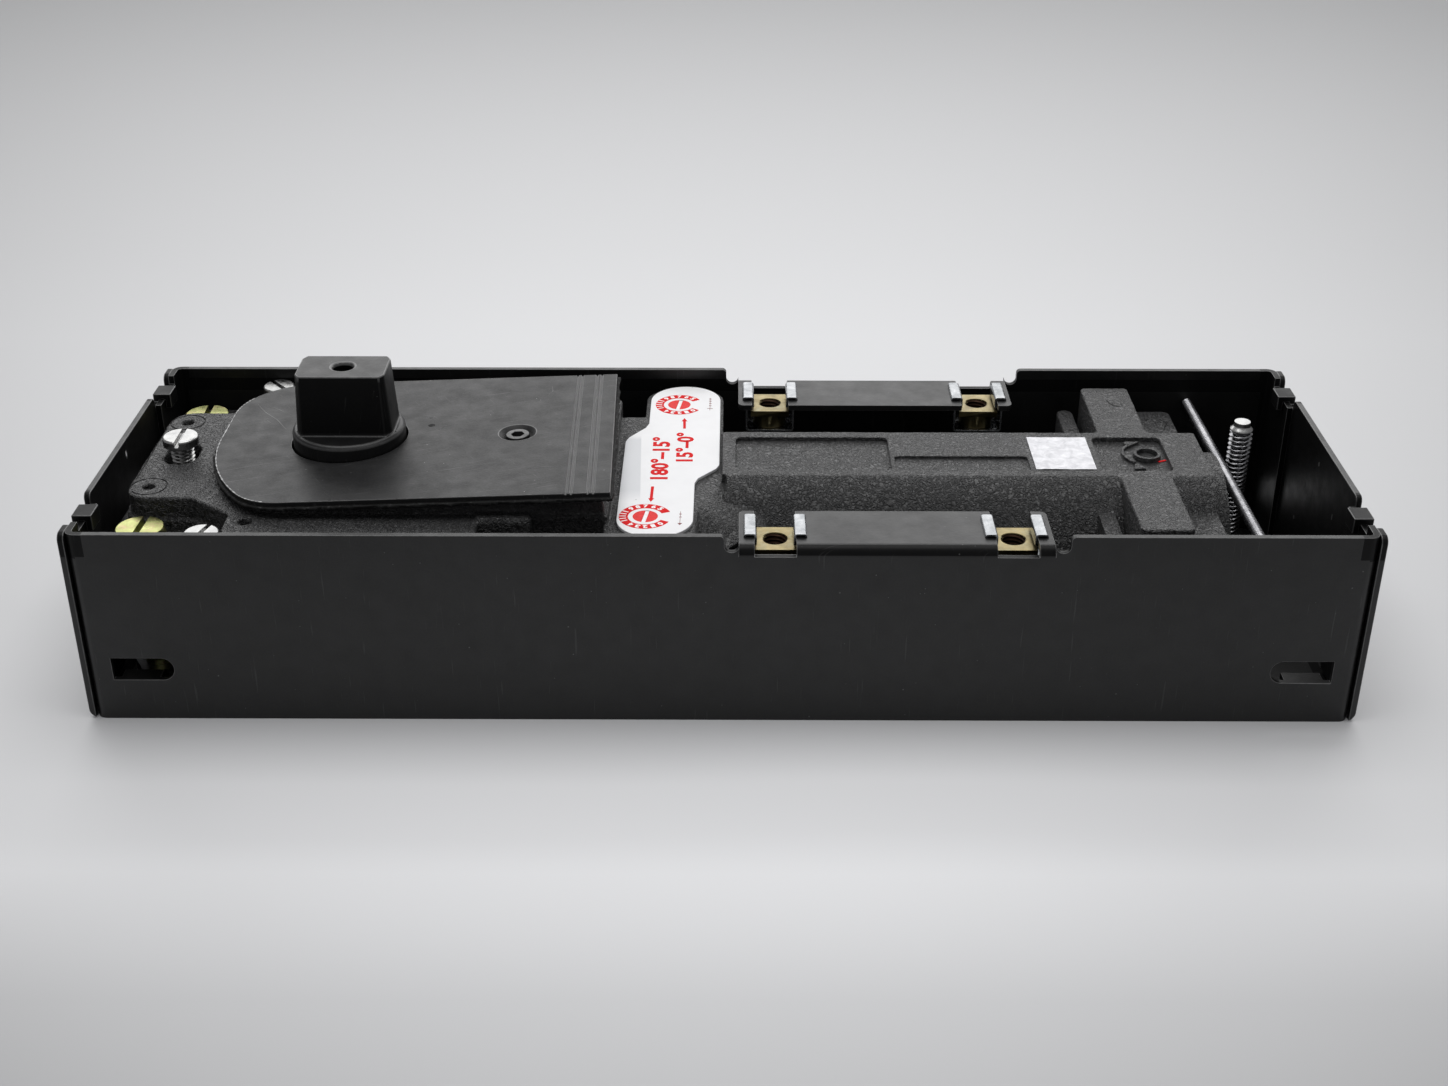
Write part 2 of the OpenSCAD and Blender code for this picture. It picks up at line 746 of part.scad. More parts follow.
// Fork that straddles the cam, with the web that joins it to the piston
module roller_carriage() {
    color(steel) difference() {
        union() {
            for (z = [13.5, 31]) translate([0, 0, z]) linear_extrude(3.5) {
                translate([roller_x, 0]) circle(6);
                translate([roller_x, -6]) square([8, 12]);
                translate([roller_x + 7, -10]) square([piston_x0 - roller_x - 7, 20]);
            }
            box(roller_x + roller_r + 1.8, piston_x0, -10, 10, 13.5, 34.5);
        }
        translate([roller_x, 0, 10]) cylinder(r = 3, h = 30);
    }
}

module piston() {
    color(steel) difference() {
        x_cylinder(piston_x0, piston_x1, bore_r - run_fit);
        // groove of the seal, and the hollow that seats the closing spring
        difference() {
            x_cylinder(seal_x0, seal_x1, bore_r + 1);
            x_cylinder(seal_x0 - 1, seal_x1 + 1, bore_r - 2.5);
        }
        difference() {
            x_cylinder(spring_seat_x, piston_x1 + 1, bore_r - 2);
            x_cylinder(spring_seat_x - 1, piston_x1 + 2, boss_r);
        }
        // non-return valve: oil way, and the pocket in which the ball lifts off its seat
        x_cylinder(piston_x0 - 1, piston_x1 + 1, 1.5);
        x_cylinder(ball_seat_x, ball_seat_x + 5.5, 2.6);
    }
}

module piston_seal() {
    color(rubber) difference() {
        x_cylinder(seal_x0, seal_x1, bore_r - run_fit);
        x_cylinder(seal_x0 - 1, seal_x1 + 1, bore_r - 2.5);
    }
}

module check_ball() {
    color(steel) translate([ball_seat_x + 2.05, 0, axis_z]) sphere(r = 2.5);
}

// Compression spring from the piston to the end plug, as a helix with eight-sided wire
module closing_spring() {
    coil_r = 11.6;
    wire_r = 2.9;
    turns = 9;
    per_turn = 14;
    sides = 8;
    x0 = spring_seat_x + wire_r + 0.05;
    x1 = plug_x0 - wire_r - 0.05;
    rings = turns * per_turn;
    points = [
        for (i = [0 : rings]) let (a = 360 * i / per_turn, x = x0 + (x1 - x0) * i / rings)
            for (j = [0 : sides - 1]) let (
                b = 360 * j / sides,
                r = coil_r + wire_r * cos(b)
            )
                [x + wire_r * sin(b), r * cos(a), r * sin(a)]
    ];
    walls = [
        for (i = [0 : rings - 1]) for (j = [0 : sides - 1])
            let (k = (j + 1) % sides)
                [i * sides + j, i * sides + k, (i + 1) * sides + k, (i + 1) * sides + j]
    ];
    color(steel) translate([0, 0, axis_z]) polyhedron(
        points = points,
        faces = concat(
            [[for (j = [sides - 1 : -1 : 0]) j]],
            walls,
            [[for (j = [0 : sides - 1]) rings * sides + j]]
        )
    );
}

// Screwed plug that closes the cylinder, with spanner holes in its round flange
module end_plug() {
    color(iron_black) difference() {
        union() {
            x_cylinder(plug_x0, body_end_x, bore_r - run_fit);
            x_cylinder(body_end_x, cap_x1, cap_r);
        }
        difference() {
            x_cylinder(113, 115.6, bore_r + 1);
            x_cylinder(112, 117, bore_r - 2);
        }
        both_sides() translate([cap_x1 - 3, 13, axis_z]) rotate([0, 90, 0])
            cylinder(r = 2.5, h = 4);
    }
}

module end_plug_seal() {
    color(rubber) difference() {
        x_cylinder(113, 115.6, bore_r - run_fit);
        x_cylinder(112, 117, bore_r - 2);
    }
}

// ---------- valves, label and sticker ----------

// Regulating screw: slotted red head, threaded body with a seal groove, and a needle tip
module valve_screw(pos) {
    top_z = neck_z + label_t;
    translate([pos[0], pos[1], 0]) difference() {
        union() {
            translate([0, 0, 43.5]) cylinder(r = 3.1, h = top_z - 43.5);
            translate([0, 0, 35]) cylinder(r = valve_r - valve_fit, h = 8.5);
            translate([0, 0, 27]) cylinder(r = 2.6, h = 8);
            translate([0, 0, 22.5]) cylinder(r1 = 0.6, r2 = 2.6, h = 4.5);
        }
        rotate(82) translate([-5, -0.5, top_z - 1]) cube([10, 1, 2]);
        ring(3, 5, 36, 38);
    }
}

module closing_valve() color(red) valve_screw(closing_pos);

module latch_valve() color(red) valve_screw(latch_pos);

module valve_seals() {
    color(rubber) for (p = [closing_pos, latch_pos])
        translate([p[0], p[1], 0]) ring(3 + valve_fit, valve_r, 36.05, 37.95);
}

// Stepped label with a round lobe over each valve
module adjuster_label() {
    color(white) translate([0, 0, neck_z]) difference() {
        linear_extrude(label_t) {
            rounded_rect(-19.4, -0.8, -6, 44, 9.2);
            rounded_rect(-25, -6.8, -42.6, 10, 9);
            polygon([
                [-19.4, 20], [-20.2, 17.4], [-24.2, 11.6], [-25, 9], [-25, -20],
                [-6.8, -20], [-6.8, -14.6], [-6, -12], [-1.6, -6.6], [-0.8, -4.4], [-0.8, 20]
            ]);
        }
        for (p = [closing_pos, latch_pos])
            translate([p[0], p[1], -1]) cylinder(r = 3.4, h = 4);
    }
}

module foil_sticker() {
    color(zinc) box(77.8, 92.8, -9.2, 9.2, land_z, land_z + 0.15);
}

// ---------- cover and screws ----------

module cover_gasket() {
    color(rubber) on_slope() translate([0, 0, -cover_t - gasket_t]) difference() {
        linear_extrude(gasket_t) cover_outline(0.7);
        translate([0, 0, -1]) cylinder(r = 17, h = 4);
        translate([cover_screw_u, 0, -1]) cylinder(r = 2.7, h = 4);
    }
}

module cover_plate() {
    color(case_black) on_slope() difference() {
        translate([0, 0, -cover_t]) linear_extrude(cover_t) cover_outline(0);
        translate([0, 0, -5]) cylinder(r = 14.5, h = 10);
        translate([cover_screw_u, 0, -5]) cylinder(r = 3, h = 10);
        translate([cover_screw_u, 0, -1.2]) cylinder(r1 = 3.4, r2 = 4.8, h = 1.21);
        translate([18.9, 11, -0.6]) cylinder(r = 0.6, h = 2);
        // two pairs of shallow grooves across the tail end of the plate, a little askew
        for (u = [56.6, 61.8]) translate([u, 0, -0.3]) rotate(atan(cover_skew / cover_hw / 2))
            for (s = [-0.65, 0.65])
                translate([s - 0.22, -cover_hw - 2, 0]) cube([0.45, 2 * cover_hw + 4, 2]);
    }
}

module cover_screw() {
    color(iron_black) on_slope() translate([cover_screw_u, 0, 0]) difference() {
        union() {
            translate([0, 0, -10]) cylinder(r = 2.45, h = 9);
            translate([0, 0, -1.1]) cylinder(r = 2.9, h = 0.7);
        }
        translate([0, 0, -2.2]) cylinder(r = 1.7, h = 3, $fn = 6);
    }
}

// Cheese-head screw with a straight slot turned by a degrees; z is the top of its head
module cheese_head(r, h, slot_w, a) {
    difference() {
        union() {
            translate([0, 0, -h]) cylinder(r = r, h = h - 0.35);
            translate([0, 0, -0.35]) cylinder(r1 = r, r2 = r - 0.35, h = 0.35);
        }
        rotate(a) translate([-r - 1, -slot_w / 2, -1.4]) cube([2 * r + 2, slot_w, 2]);
    }
}

module clamp_screw() {
    color(zinc) translate([clamp_x, 0, 0]) {
        translate([0, 0, 52.5]) cheese_head(4.45, 2.4, 1.1, 90);
        translate([0, 0, sheet_t]) cylinder(r = m6_r, h = 52.5 - 2.4 - sheet_t);
    }
}

// Hexagon bolts with chamfered heads, slotted for a screwdriver
module fixing_bolts() {
    head_h = bolt_head_z - shelf_z - 0.8;
    color(yellow_zinc) both_sides() translate([bolt_x, bolt_y, 0]) difference() {
        union() {
            translate([0, 0, bolt_head_z - head_h]) intersection() {
                cylinder(r = bolt_head_r, h = head_h, $fn = 6);
                cylinder(r1 = bolt_head_r + 1.9, r2 = bolt_head_r - 0.9, h = head_h);
            }
            translate([0, 0, 2]) cylinder(r = bolt_r, h = bolt_head_z - head_h - 2);
        }
        rotate(92) translate([-10, -0.75, bolt_head_z - 2]) cube([20, 1.5, 4]);
    }
}

module bolt_washers() {
    color(yellow_zinc) both_sides() translate([bolt_x, bolt_y, 0])
        ring(bolt_r + 0.2, bolt_head_r - 0.05, shelf_z, shelf_z + 0.8);
}

// The pair of levelling screws, each left at its own turn
module levelling_screws() {
    color(zinc) for (s = [-1, 1]) translate([level_x, s * level_y, 0]) {
        translate([0, 0, 47.7]) cheese_head(4.2, 3.4, 1.0, s < 0 ? 74 : -51);
        translate([0, 0, sheet_t]) cylinder(r = m6_r, h = 47.7 - 3.4 - sheet_t);
    }
}

floor_pan();
front_wall();
back_wall();
cage_nuts();
cage_clips();
weld_nuts();
tail_saddle();
tail_stud();
cross_rod();
closer_body();
chamber_lid();
lid_screws();
upper_bearing();
lower_bearing();
shaft_seal();
cam_shaft();
heart_cam();
cam_key();
spindle_insert();
cam_roller();
roller_pin();
roller_carriage();
piston();
piston_seal();
check_ball();
closing_spring();
end_plug();
end_plug_seal();
closing_valve();
latch_valve();
valve_seals();
adjuster_label();
foil_sticker();
cover_gasket();
cover_plate();
cover_screw();
clamp_screw();
fixing_bolts();
bolt_washers();
levelling_screws();
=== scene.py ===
# %% [markdown]
# # A floor spring door closer, dressed in Blender
# The shapes of the closer come from its CAD model. This script loads that model as a fixed frame, gives every
# piece a finish, and replaces the pieces whose real surface has more to it than CAD holds: the cast body, the
# threads, the printed dials, the foil sticker and the torn gasket.

import json
import math

import bmesh
import bpy
import numpy as np
from mathutils import Matrix, Vector
from mathutils.bvhtree import BVHTree


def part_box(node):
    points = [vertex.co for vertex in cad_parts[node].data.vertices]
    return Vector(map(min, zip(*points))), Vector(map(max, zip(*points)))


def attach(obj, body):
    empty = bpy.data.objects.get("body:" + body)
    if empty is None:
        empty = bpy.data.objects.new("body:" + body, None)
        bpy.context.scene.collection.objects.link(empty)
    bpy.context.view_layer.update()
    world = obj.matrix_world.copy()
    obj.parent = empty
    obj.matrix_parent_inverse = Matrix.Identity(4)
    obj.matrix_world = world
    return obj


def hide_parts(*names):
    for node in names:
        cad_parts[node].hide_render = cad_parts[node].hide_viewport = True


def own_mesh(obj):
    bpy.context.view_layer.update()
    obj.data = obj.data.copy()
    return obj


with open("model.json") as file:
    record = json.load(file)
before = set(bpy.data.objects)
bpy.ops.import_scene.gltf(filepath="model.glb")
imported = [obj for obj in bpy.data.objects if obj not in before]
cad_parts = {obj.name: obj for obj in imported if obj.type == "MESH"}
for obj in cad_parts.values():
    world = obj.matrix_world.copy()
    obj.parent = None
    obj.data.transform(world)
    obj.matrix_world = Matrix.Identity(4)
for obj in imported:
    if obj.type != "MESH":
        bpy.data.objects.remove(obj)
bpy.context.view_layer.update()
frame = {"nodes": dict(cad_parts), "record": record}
nodes = frame["nodes"]
scene = bpy.context.scene
MM = 0.001

# %% [markdown]
# ## Camera
# The closer stands on a photographer's table and is seen from in front and above. A camera could be aimed with
# a constraint, but plain numbers give the same view on every run: a place, an angle down, and a small turn.

# %% Camera
def look_direction(pitch_down, turn):
    """Unit vector of a camera that looks along +Y, tipped down and turned by these degrees."""
    tip = math.radians(pitch_down)
    side = math.radians(turn)
    return Vector((math.sin(side) * math.cos(tip), math.cos(side) * math.cos(tip), -math.sin(tip)))


camera_data = bpy.data.cameras.new("camera")
camera_data.sensor_width = 36.0
camera_data.lens = 46.553
camera_data.clip_start = 0.01
camera_data.clip_end = 50.0
camera = bpy.data.objects.new("camera", camera_data)
camera.location = (0.0027, -0.4263, 0.2533)
camera.rotation_euler = look_direction(28.475, -0.318).to_track_quat("-Z", "Y").to_euler()
scene.collection.objects.link(camera)
scene.camera = camera
print("camera at", tuple(round(v, 3) for v in camera.location), "lens", camera_data.lens)

# %% [markdown]
# ## A maker's box of finishes
# Every real surface is uneven: paint pools, zinc streaks, castings have pebbles. Images could show this, but
# noise worked out from the object's own coordinates stays sharp at any distance. The class below wires such
# noise with one short call each. Sizes are given in millimetres, because that is how a surface is measured.

# %% Finish helper
class Finish:
    """A Principled material with calls that add noise, ramps, colour mixes and bumps."""

    def __init__(self, name, metallic=0.0, specular=0.5):
        self.material = bpy.data.materials.new(name)
        self.material.use_nodes = True
        self.tree = self.material.node_tree
        self.shader = self.tree.nodes["Principled BSDF"]
        self.shader.inputs["Metallic"].default_value = metallic
        self.shader.inputs["Specular IOR Level"].default_value = specular
        self.coords = self.add("ShaderNodeTexCoord").outputs["Object"]

    def add(self, kind, **settings):
        node = self.tree.nodes.new(kind)
        for key, value in settings.items():
            setattr(node, key, value)
        return node

    def plug(self, socket, value):
        """Links a socket, or sets a plain value."""
        if isinstance(value, bpy.types.NodeSocket):
            self.tree.links.new(value, socket)
        elif isinstance(value, tuple) and len(value) == 3 and socket.type == "RGBA":
            socket.default_value = (*value, 1.0)
        else:
            socket.default_value = value

    def mapped(self, stretch=(1, 1, 1), turn=(0, 0, 0)):
        """Object coordinates turned by degrees, then stretched."""
        node = self.add("ShaderNodeMapping", vector_type="TEXTURE")
        node.inputs["Rotation"].default_value = [math.radians(a) for a in turn]
        node.inputs["Scale"].default_value = [1.0 / s for s in stretch]
        self.plug(node.inputs["Vector"], self.coords)
        return node.outputs["Vector"]

    def noise(self, size_mm, detail=3.0, roughness=0.55, stretch=(1, 1, 1), turn=(0, 0, 0), distort=0.0):
        """Smooth noise whose lumps are about size_mm wide."""
        node = self.add("ShaderNodeTexNoise")
        self.plug(node.inputs["Vector"], self.mapped(stretch, turn))
        node.inputs["Scale"].default_value = 1.0 / (size_mm * MM)
        node.inputs["Detail"].default_value = detail
        node.inputs["Roughness"].default_value = roughness
        node.inputs["Distortion"].default_value = distort
        return node.outputs["Fac"]

    def cells(self, size_mm):
        """Distance to the nearest of many scattered points."""
        node = self.add("ShaderNodeTexVoronoi")
        self.plug(node.inputs["Vector"], self.mapped())
        node.inputs["Scale"].default_value = 1.0 / (size_mm * MM)
        return node.outputs["Distance"]

    def span(self, value, low, high, to_low=0.0, to_high=1.0):
        """Maps low..high of a value to to_low..to_high, and holds it there."""
        node = self.add("ShaderNodeMapRange")
        self.plug(node.inputs["Value"], value)
        for key, number in (("From Min", low), ("From Max", high), ("To Min", to_low), ("To Max", to_high)):
            node.inputs[key].default_value = number
        return node.outputs["Result"]

    def math(self, operation, a, b=0.0, c=0.0):
        node = self.add("ShaderNodeMath", operation=operation)
        for socket, value in zip(node.inputs, (a, b, c)):
            self.plug(socket, value)
        return node.outputs["Value"]

    def times(self, first, *others):
        """The product of all values."""
        for value in others:
            first = self.math("MULTIPLY", first, value)
        return first

    def between(self, value, low, high):
        """1 where a value lies between two limits, 0 elsewhere."""
        return self.times(self.math("GREATER_THAN", value, low), self.math("LESS_THAN", value, high))

    def axis(self, letter):
        node = self.add("ShaderNodeSeparateXYZ")
        self.plug(node.inputs["Vector"], self.coords)
        return node.outputs[letter]

    def mix(self, factor, a, b):
        node = self.add("ShaderNodeMix", data_type="RGBA", clamp_factor=True)
        self.plug(node.inputs[0], factor)
        self.plug(node.inputs[6], a)
        self.plug(node.inputs[7], b)
        return node.outputs[2]

    def worms(self, size_mm):
        """Ridges that wander like worm tracks, as a casting's sand leaves them: 1 on a ridge, 0 between."""
        fold = self.math("ABSOLUTE", self.math("SUBTRACT", self.noise(size_mm, 2.0, 0.5, distort=0.8), 0.5))
        return self.span(fold, 0.0, 0.12, 1.0, 0.0)

    def scratches(self, turn, size_mm=14.0, share=0.70):
        """Straight marks 60 times longer than wide: 1 on a mark, 0 elsewhere."""
        lines = self.noise(size_mm, 2.0, 0.4, stretch=(1, 60.0, 1), turn=(0, 0, turn))
        return self.span(lines, share, share + 0.05)

    def specks(self, size_mm, radius=0.16):
        """Dust or pinholes: small dots, some larger than others and many missing."""
        dots = self.span(self.cells(size_mm), radius, radius * 0.6)
        keep = self.span(self.noise(size_mm * 3.1, 1.0), 0.54, 0.56)
        return self.times(dots, keep)

    def bump(self, height, depth_mm, under=None):
        node = self.add("ShaderNodeBump")
        node.inputs["Strength"].default_value = 1.0
        node.inputs["Distance"].default_value = depth_mm * MM
        self.plug(node.inputs["Height"], height)
        if under is not None:
            self.plug(node.inputs["Normal"], under)
        return node.outputs["Normal"]

    def wear(self, colour, roughness, normal=None, shine=None):
        """Plugs what was made into the shader, and returns the material."""
        self.plug(self.shader.inputs["Base Color"], colour)
        self.plug(self.shader.inputs["Roughness"], roughness)
        if shine is not None:
            self.plug(self.shader.inputs["Specular IOR Level"], shine)
        if normal is not None:
            self.plug(self.shader.inputs["Normal"], normal)
        return self.material


print("finish helper ready")

# %% [markdown]
# ## Floor and light
# The closer stands on a pale seamless sheet, with one large soft lamp overhead and a wide one behind it. The
# light on such a table is brightest around the object and falls off towards the edges. Lamps that light an even
# sheet so would need tuning, so this pool of light is painted into the sheet's colour as a ramp over its own
# length and width, and the lamps stay plain.

# %% Floor
# Painted light: the floor's grey along Y is a pool of light painted into its colour, brightest just in front of the
# closer.
FLOOR_PAINTED_LIGHT = [  # place along Y in metres, grey as it should look
    (-0.190, 0.53), (-0.168, 0.57), (-0.147, 0.635), (-0.132, 0.73), (-0.107, 0.89), (-0.081, 0.84),
    (-0.060, 0.82), (0.000, 0.74), (0.102, 0.71), (0.192, 0.69), (0.286, 0.63), (0.422, 0.56), (0.589, 0.47),
    (0.722, 0.40),
]
FLOOR_Y = (FLOOR_PAINTED_LIGHT[0][0], FLOOR_PAINTED_LIGHT[-1][0])


def floor_sheet():
    """A large flat sheet whose grey is a painted pool of light: it follows the listed shades along Y and darkens to
    either side.
    """
    bpy.ops.mesh.primitive_plane_add(size=12.0, location=(0, 0, 0))
    sheet = bpy.context.object
    sheet.name = "floor"
    look = Finish("floor", specular=0.2)
    along = look.span(look.axis("Y"), *FLOOR_Y)
    ramp = look.add("ShaderNodeValToRGB")
    steps = ramp.color_ramp.elements
    while len(steps) < len(FLOOR_PAINTED_LIGHT):
        steps.new(0.5)
    for step, (y, grey) in zip(steps, FLOOR_PAINTED_LIGHT):
        step.position = (y - FLOOR_Y[0]) / (FLOOR_Y[1] - FLOOR_Y[0])
        step.color = (grey, grey * 1.004, grey * 1.018, 1.0)
    look.plug(ramp.inputs["Fac"], along)
    half_width = look.span(look.axis("Y"), -0.19, 0.75, 0.127, 0.450)  # metres, near and far
    side = look.math("DIVIDE", look.axis("X"), half_width)
    # painted shade: the sheet darkens to either side
    side_shade = look.span(look.times(side, side), 0.0, 1.0, 1.0, 0.79)
    scaled = look.add("ShaderNodeVectorMath", operation="SCALE")
    look.plug(scaled.inputs[0], ramp.outputs["Color"])
    look.plug(scaled.inputs["Scale"], side_shade)
    sheet.data.materials.append(look.wear(scaled.outputs["Vector"], 0.62))
    return sheet


floor = floor_sheet()
print("floor", floor.dimensions[:], "with", len(FLOOR_PAINTED_LIGHT), "shades")

# %% Light
scene.view_settings.view_transform = "Standard"

world = bpy.data.worlds.new("studio")
world.use_nodes = True
world.node_tree.nodes["Background"].inputs["Color"].default_value = (0.9, 0.9, 0.92, 1)
world.node_tree.nodes["Background"].inputs["Strength"].default_value = 0.30
scene.world = world


def area_light(name, place, target, size, power):
    """A rectangular soft lamp at a place, aimed at a target."""
    data = bpy.data.lights.new(name, "AREA")
    data.shape = "RECTANGLE"
    data.size, data.size_y = size
    data.energy = power
    lamp = bpy.data.objects.new(name, data)
    lamp.location = place
    lamp.rotation_euler = (Vector(target) - Vector(place)).to_track_quat("-Z", "Y").to_euler()
    lamp.visible_camera = False
    scene.collection.objects.link(lamp)
    return lamp


overhead = area_light("overhead", (0, 0.1, 1.3), (0, 0, 0), (1.4, 1.0), 12.0)
behind = area_light("behind", (0, 1.7, 1.0), (0, 0, 0.05), (3.0, 1.3), 24.0)
print("two lamps of", overhead.data.energy, "and", behind.data.energy, "W and an even room")

# %% [markdown]
# ## Black paint on sheet steel
# The case, its cover and the spindle block are painted satin black. Paint on pressed steel shows a faint
# orange peel, a few thin scratches and dust, and it is thinner along every bent or cut edge. The edge has its
# own, lighter material, which the bevel of each sheet piece puts exactly there: its light line is partly that
# thinner paint and partly a painted highlight. Where the paint lies in shade, a mask lowers its shine, as
# painted shade.

# %% Paint
def grey(shade):
    return (shade, shade, shade)


def black_paint(name, shade, gloss, peel_mm, marks, shine, uneven, shade_mask=None):
    """Satin black paint: orange peel, thin scratches along two directions, dust, and a mottled shine."""
    look = Finish(name)
    cloud = look.noise(38.0, 3.0)
    base = look.mix(look.span(cloud, 0.3, 0.7), grey(shade * 0.9), (shade * 1.12, shade * 1.12, shade * 1.18))
    lines = look.math("MAXIMUM", look.scratches(17.0), look.scratches(-58.0, size_mm=9.0, share=0.73))
    lines = look.times(lines, marks)
    dust = look.math("MAXIMUM", look.specks(5.0, 0.045), look.specks(2.6, 0.06))
    marked = look.mix(look.math("MAXIMUM", lines, look.times(dust, marks * 4.0)), base, grey(0.26))
    rough = look.span(look.noise(5.0, 4.0, 0.6), 0.3, 0.7, gloss - 0.05, gloss + 0.07)
    peel = look.bump(look.noise(peel_mm, 2.0, 0.5), 0.022)
    grain = look.math("ADD", look.times(look.noise(0.45, 2.0), 0.5), look.times(look.noise(6.0, 3.0, 0.6), 0.5))
    mottle = look.span(grain, 0.36, 0.64, shine * (1.0 - uneven), shine * (1.0 + uneven))
    # painted shade: where a mask is given, it lowers the shine where the paint lies in shade
    if shade_mask is not None:
        mottle = look.times(mottle, shade_mask(look))
    return look.wear(marked, rough, look.bump(look.noise(peel_mm * 9.0, 2.0), 0.05, peel), mottle)


def painted_shade_inside_case(look):
    """Painted shade: the insides of the end plates, their hooks and the bend at the top of the long walls lie in
    shade, so their shine is lowered there: 1 elsewhere.
    """
    across, along = (look.math("ABSOLUTE", look.axis(letter)) for letter in ("Y", "X"))
    height = look.axis("Z")
    plate = look.times(look.between(along, 0.1478, 0.1514), look.math("LESS_THAN", across, 0.0478))
    hooks = look.times(look.math("GREATER_THAN", along, 0.1470), look.math("GREATER_THAN", across, 0.0260),
                       look.math("GREATER_THAN", height, 0.0445))
    bend = look.times(look.between(across, 0.0472, 0.04895), look.between(height, 0.0440, 0.0476))
    return look.span(look.math("MAXIMUM", bend, look.math("MAXIMUM", plate, hooks)), 0.0, 1.0, 1.0, 0.26)


def painted_shade_block_sides(look):
    """Painted shade: the spindle block's sides get less shine than its top and its collar, so that they look
    darker, as in shade: 1 elsewhere.
    """
    height = look.axis("Z")
    sides = look.times(look.span(height, 0.0562, 0.0568), look.span(height, 0.0712, 0.0708))
    return look.span(sides, 0.0, 1.0, 1.0, 0.28)


def worn_edge(name, shade, low_shade=None, from_z=None):
    """The thin lighter line along an edge, with small breaks in it: partly paint drawn back from the edge, partly a
    painted highlight. With low_shade, edges below from_z are painted darker, as shade, and only the top edges and,
    in part, the collar's keep the light line.
    """
    look = Finish(name, specular=0.6)
    broken = look.noise(1.6, 3.0, 0.7)
    colour = look.mix(look.span(broken, 0.42, 0.72), grey(shade * 0.55), grey(shade))
    shine = None
    if low_shade is not None:
        # painted highlight and shade: top edges keep the light line, the collar's in part, and the side edges below
        # are painted dark with little shine
        height = look.axis("Z")
        highlit_edges = look.math("MAXIMUM", look.span(height, from_z - 0.001, from_z),
                          look.span(height, 0.0562, 0.0566, 0.35, 0.0))
        colour = look.mix(highlit_edges, grey(low_shade), colour)
        shine = look.span(highlit_edges, 0.0, 1.0, 0.15, 0.6)
    return look.wear(colour, look.span(broken, 0.3, 0.7, 0.30, 0.45), look.bump(broken, 0.02), shine)


paint = black_paint("case_paint", 0.0050, 0.40, 0.9, 0.06, 0.45, 0.05, painted_shade_inside_case)
block_paint = black_paint("block_paint", 0.0050, 0.40, 0.9, 0.06, 0.41, 0.12, painted_shade_block_sides)
cover_paint = black_paint("cover_paint", 0.011, 0.46, 0.7, 0.24, 0.32, 0.22)
# Edge materials: each light line is partly worn paint and partly a painted highlight. The walls' edges are painted
# lighter still, to make up for their narrow bevel, and the block's side edges are painted darker, as shade.
edge_paint = worn_edge("worn_edge", 0.10)
wall_edge = worn_edge("wall_edge", 0.16)
block_edge = worn_edge("block_edge", 0.14, 0.012, 0.0708)
rim_paint = worn_edge("cover_rim", 0.42)
print("paints:", [m.name for m in (paint, block_paint, cover_paint, edge_paint, wall_edge, block_edge, rim_paint)])

# %% [markdown]
# ## Cast iron
# The body is a sand casting under black paint. Its skin is pebbled where the sand was coarse, most of all
# along the rounded edges of the long land and on the cylinder's flank, and smoother on the top faces, which
# were pressed flat. Worm-like ridges, a finer grain and pinholes are stacked as three bumps.

# %% Casting
def cast_finish(name, shade):
    """Painted cast iron, coarser at the land's edges and on the cylinder."""
    look = Finish(name)
    height = look.axis("Z")
    coarse = look.times(look.span(height, 0.0300, 0.0400), look.span(height, 0.0490, 0.0474))
    coarse = look.span(coarse, 0.0, 1.0, 0.40, 1.0)
    ridges = look.times(look.worms(1.05), coarse)
    grain = look.noise(0.42, 3.0, 0.65)
    pits = look.specks(3.4, 0.12)
    cloud = look.noise(16.0, 4.0, 0.6)
    base = look.mix(look.span(cloud, 0.3, 0.7), grey(shade * 0.86), (shade * 1.16, shade * 1.16, shade * 1.2))
    # painted highlight: the ridges are coloured lighter, as if they caught the light
    base = look.mix(look.times(ridges, 0.35), base, (shade * 2.6, shade * 2.6, shade * 2.7))
    base = look.mix(look.times(pits, 0.8), base, grey(shade * 0.3))
    # painted glints: small light flecks stand for glints on the pebbled skin
    painted_glints = look.math("MAXIMUM", look.specks(1.5, 0.12), look.specks(2.9, 0.07))
    base = look.mix(look.times(painted_glints, 0.6), base, grey(0.15))
    rough = look.span(look.noise(2.2, 4.0, 0.6), 0.3, 0.7, 0.36, 0.52)
    fine = look.bump(grain, 0.12, look.bump(ridges, 0.34))
    mottle = look.math("ADD", look.times(look.noise(0.6, 2.0), 0.5), look.times(look.noise(4.0, 3.0), 0.5))
    shine = look.span(mottle, 0.36, 0.64, 0.58, 0.86)
    return look.wear(base, rough, look.bump(look.math("SUBTRACT", 1.0, pits), 0.12, fine), shine)


casting = cast_finish("casting", 0.017)
print("casting finish:", casting.name)

# %% [markdown]
# ## Plated and plain metals
# Zinc plate is bright with cloudy streaks, yellow passivate shifts from straw to a greenish pink, and oiled
# steel inside the body is darker. One function covers them, with the tints given as numbers.

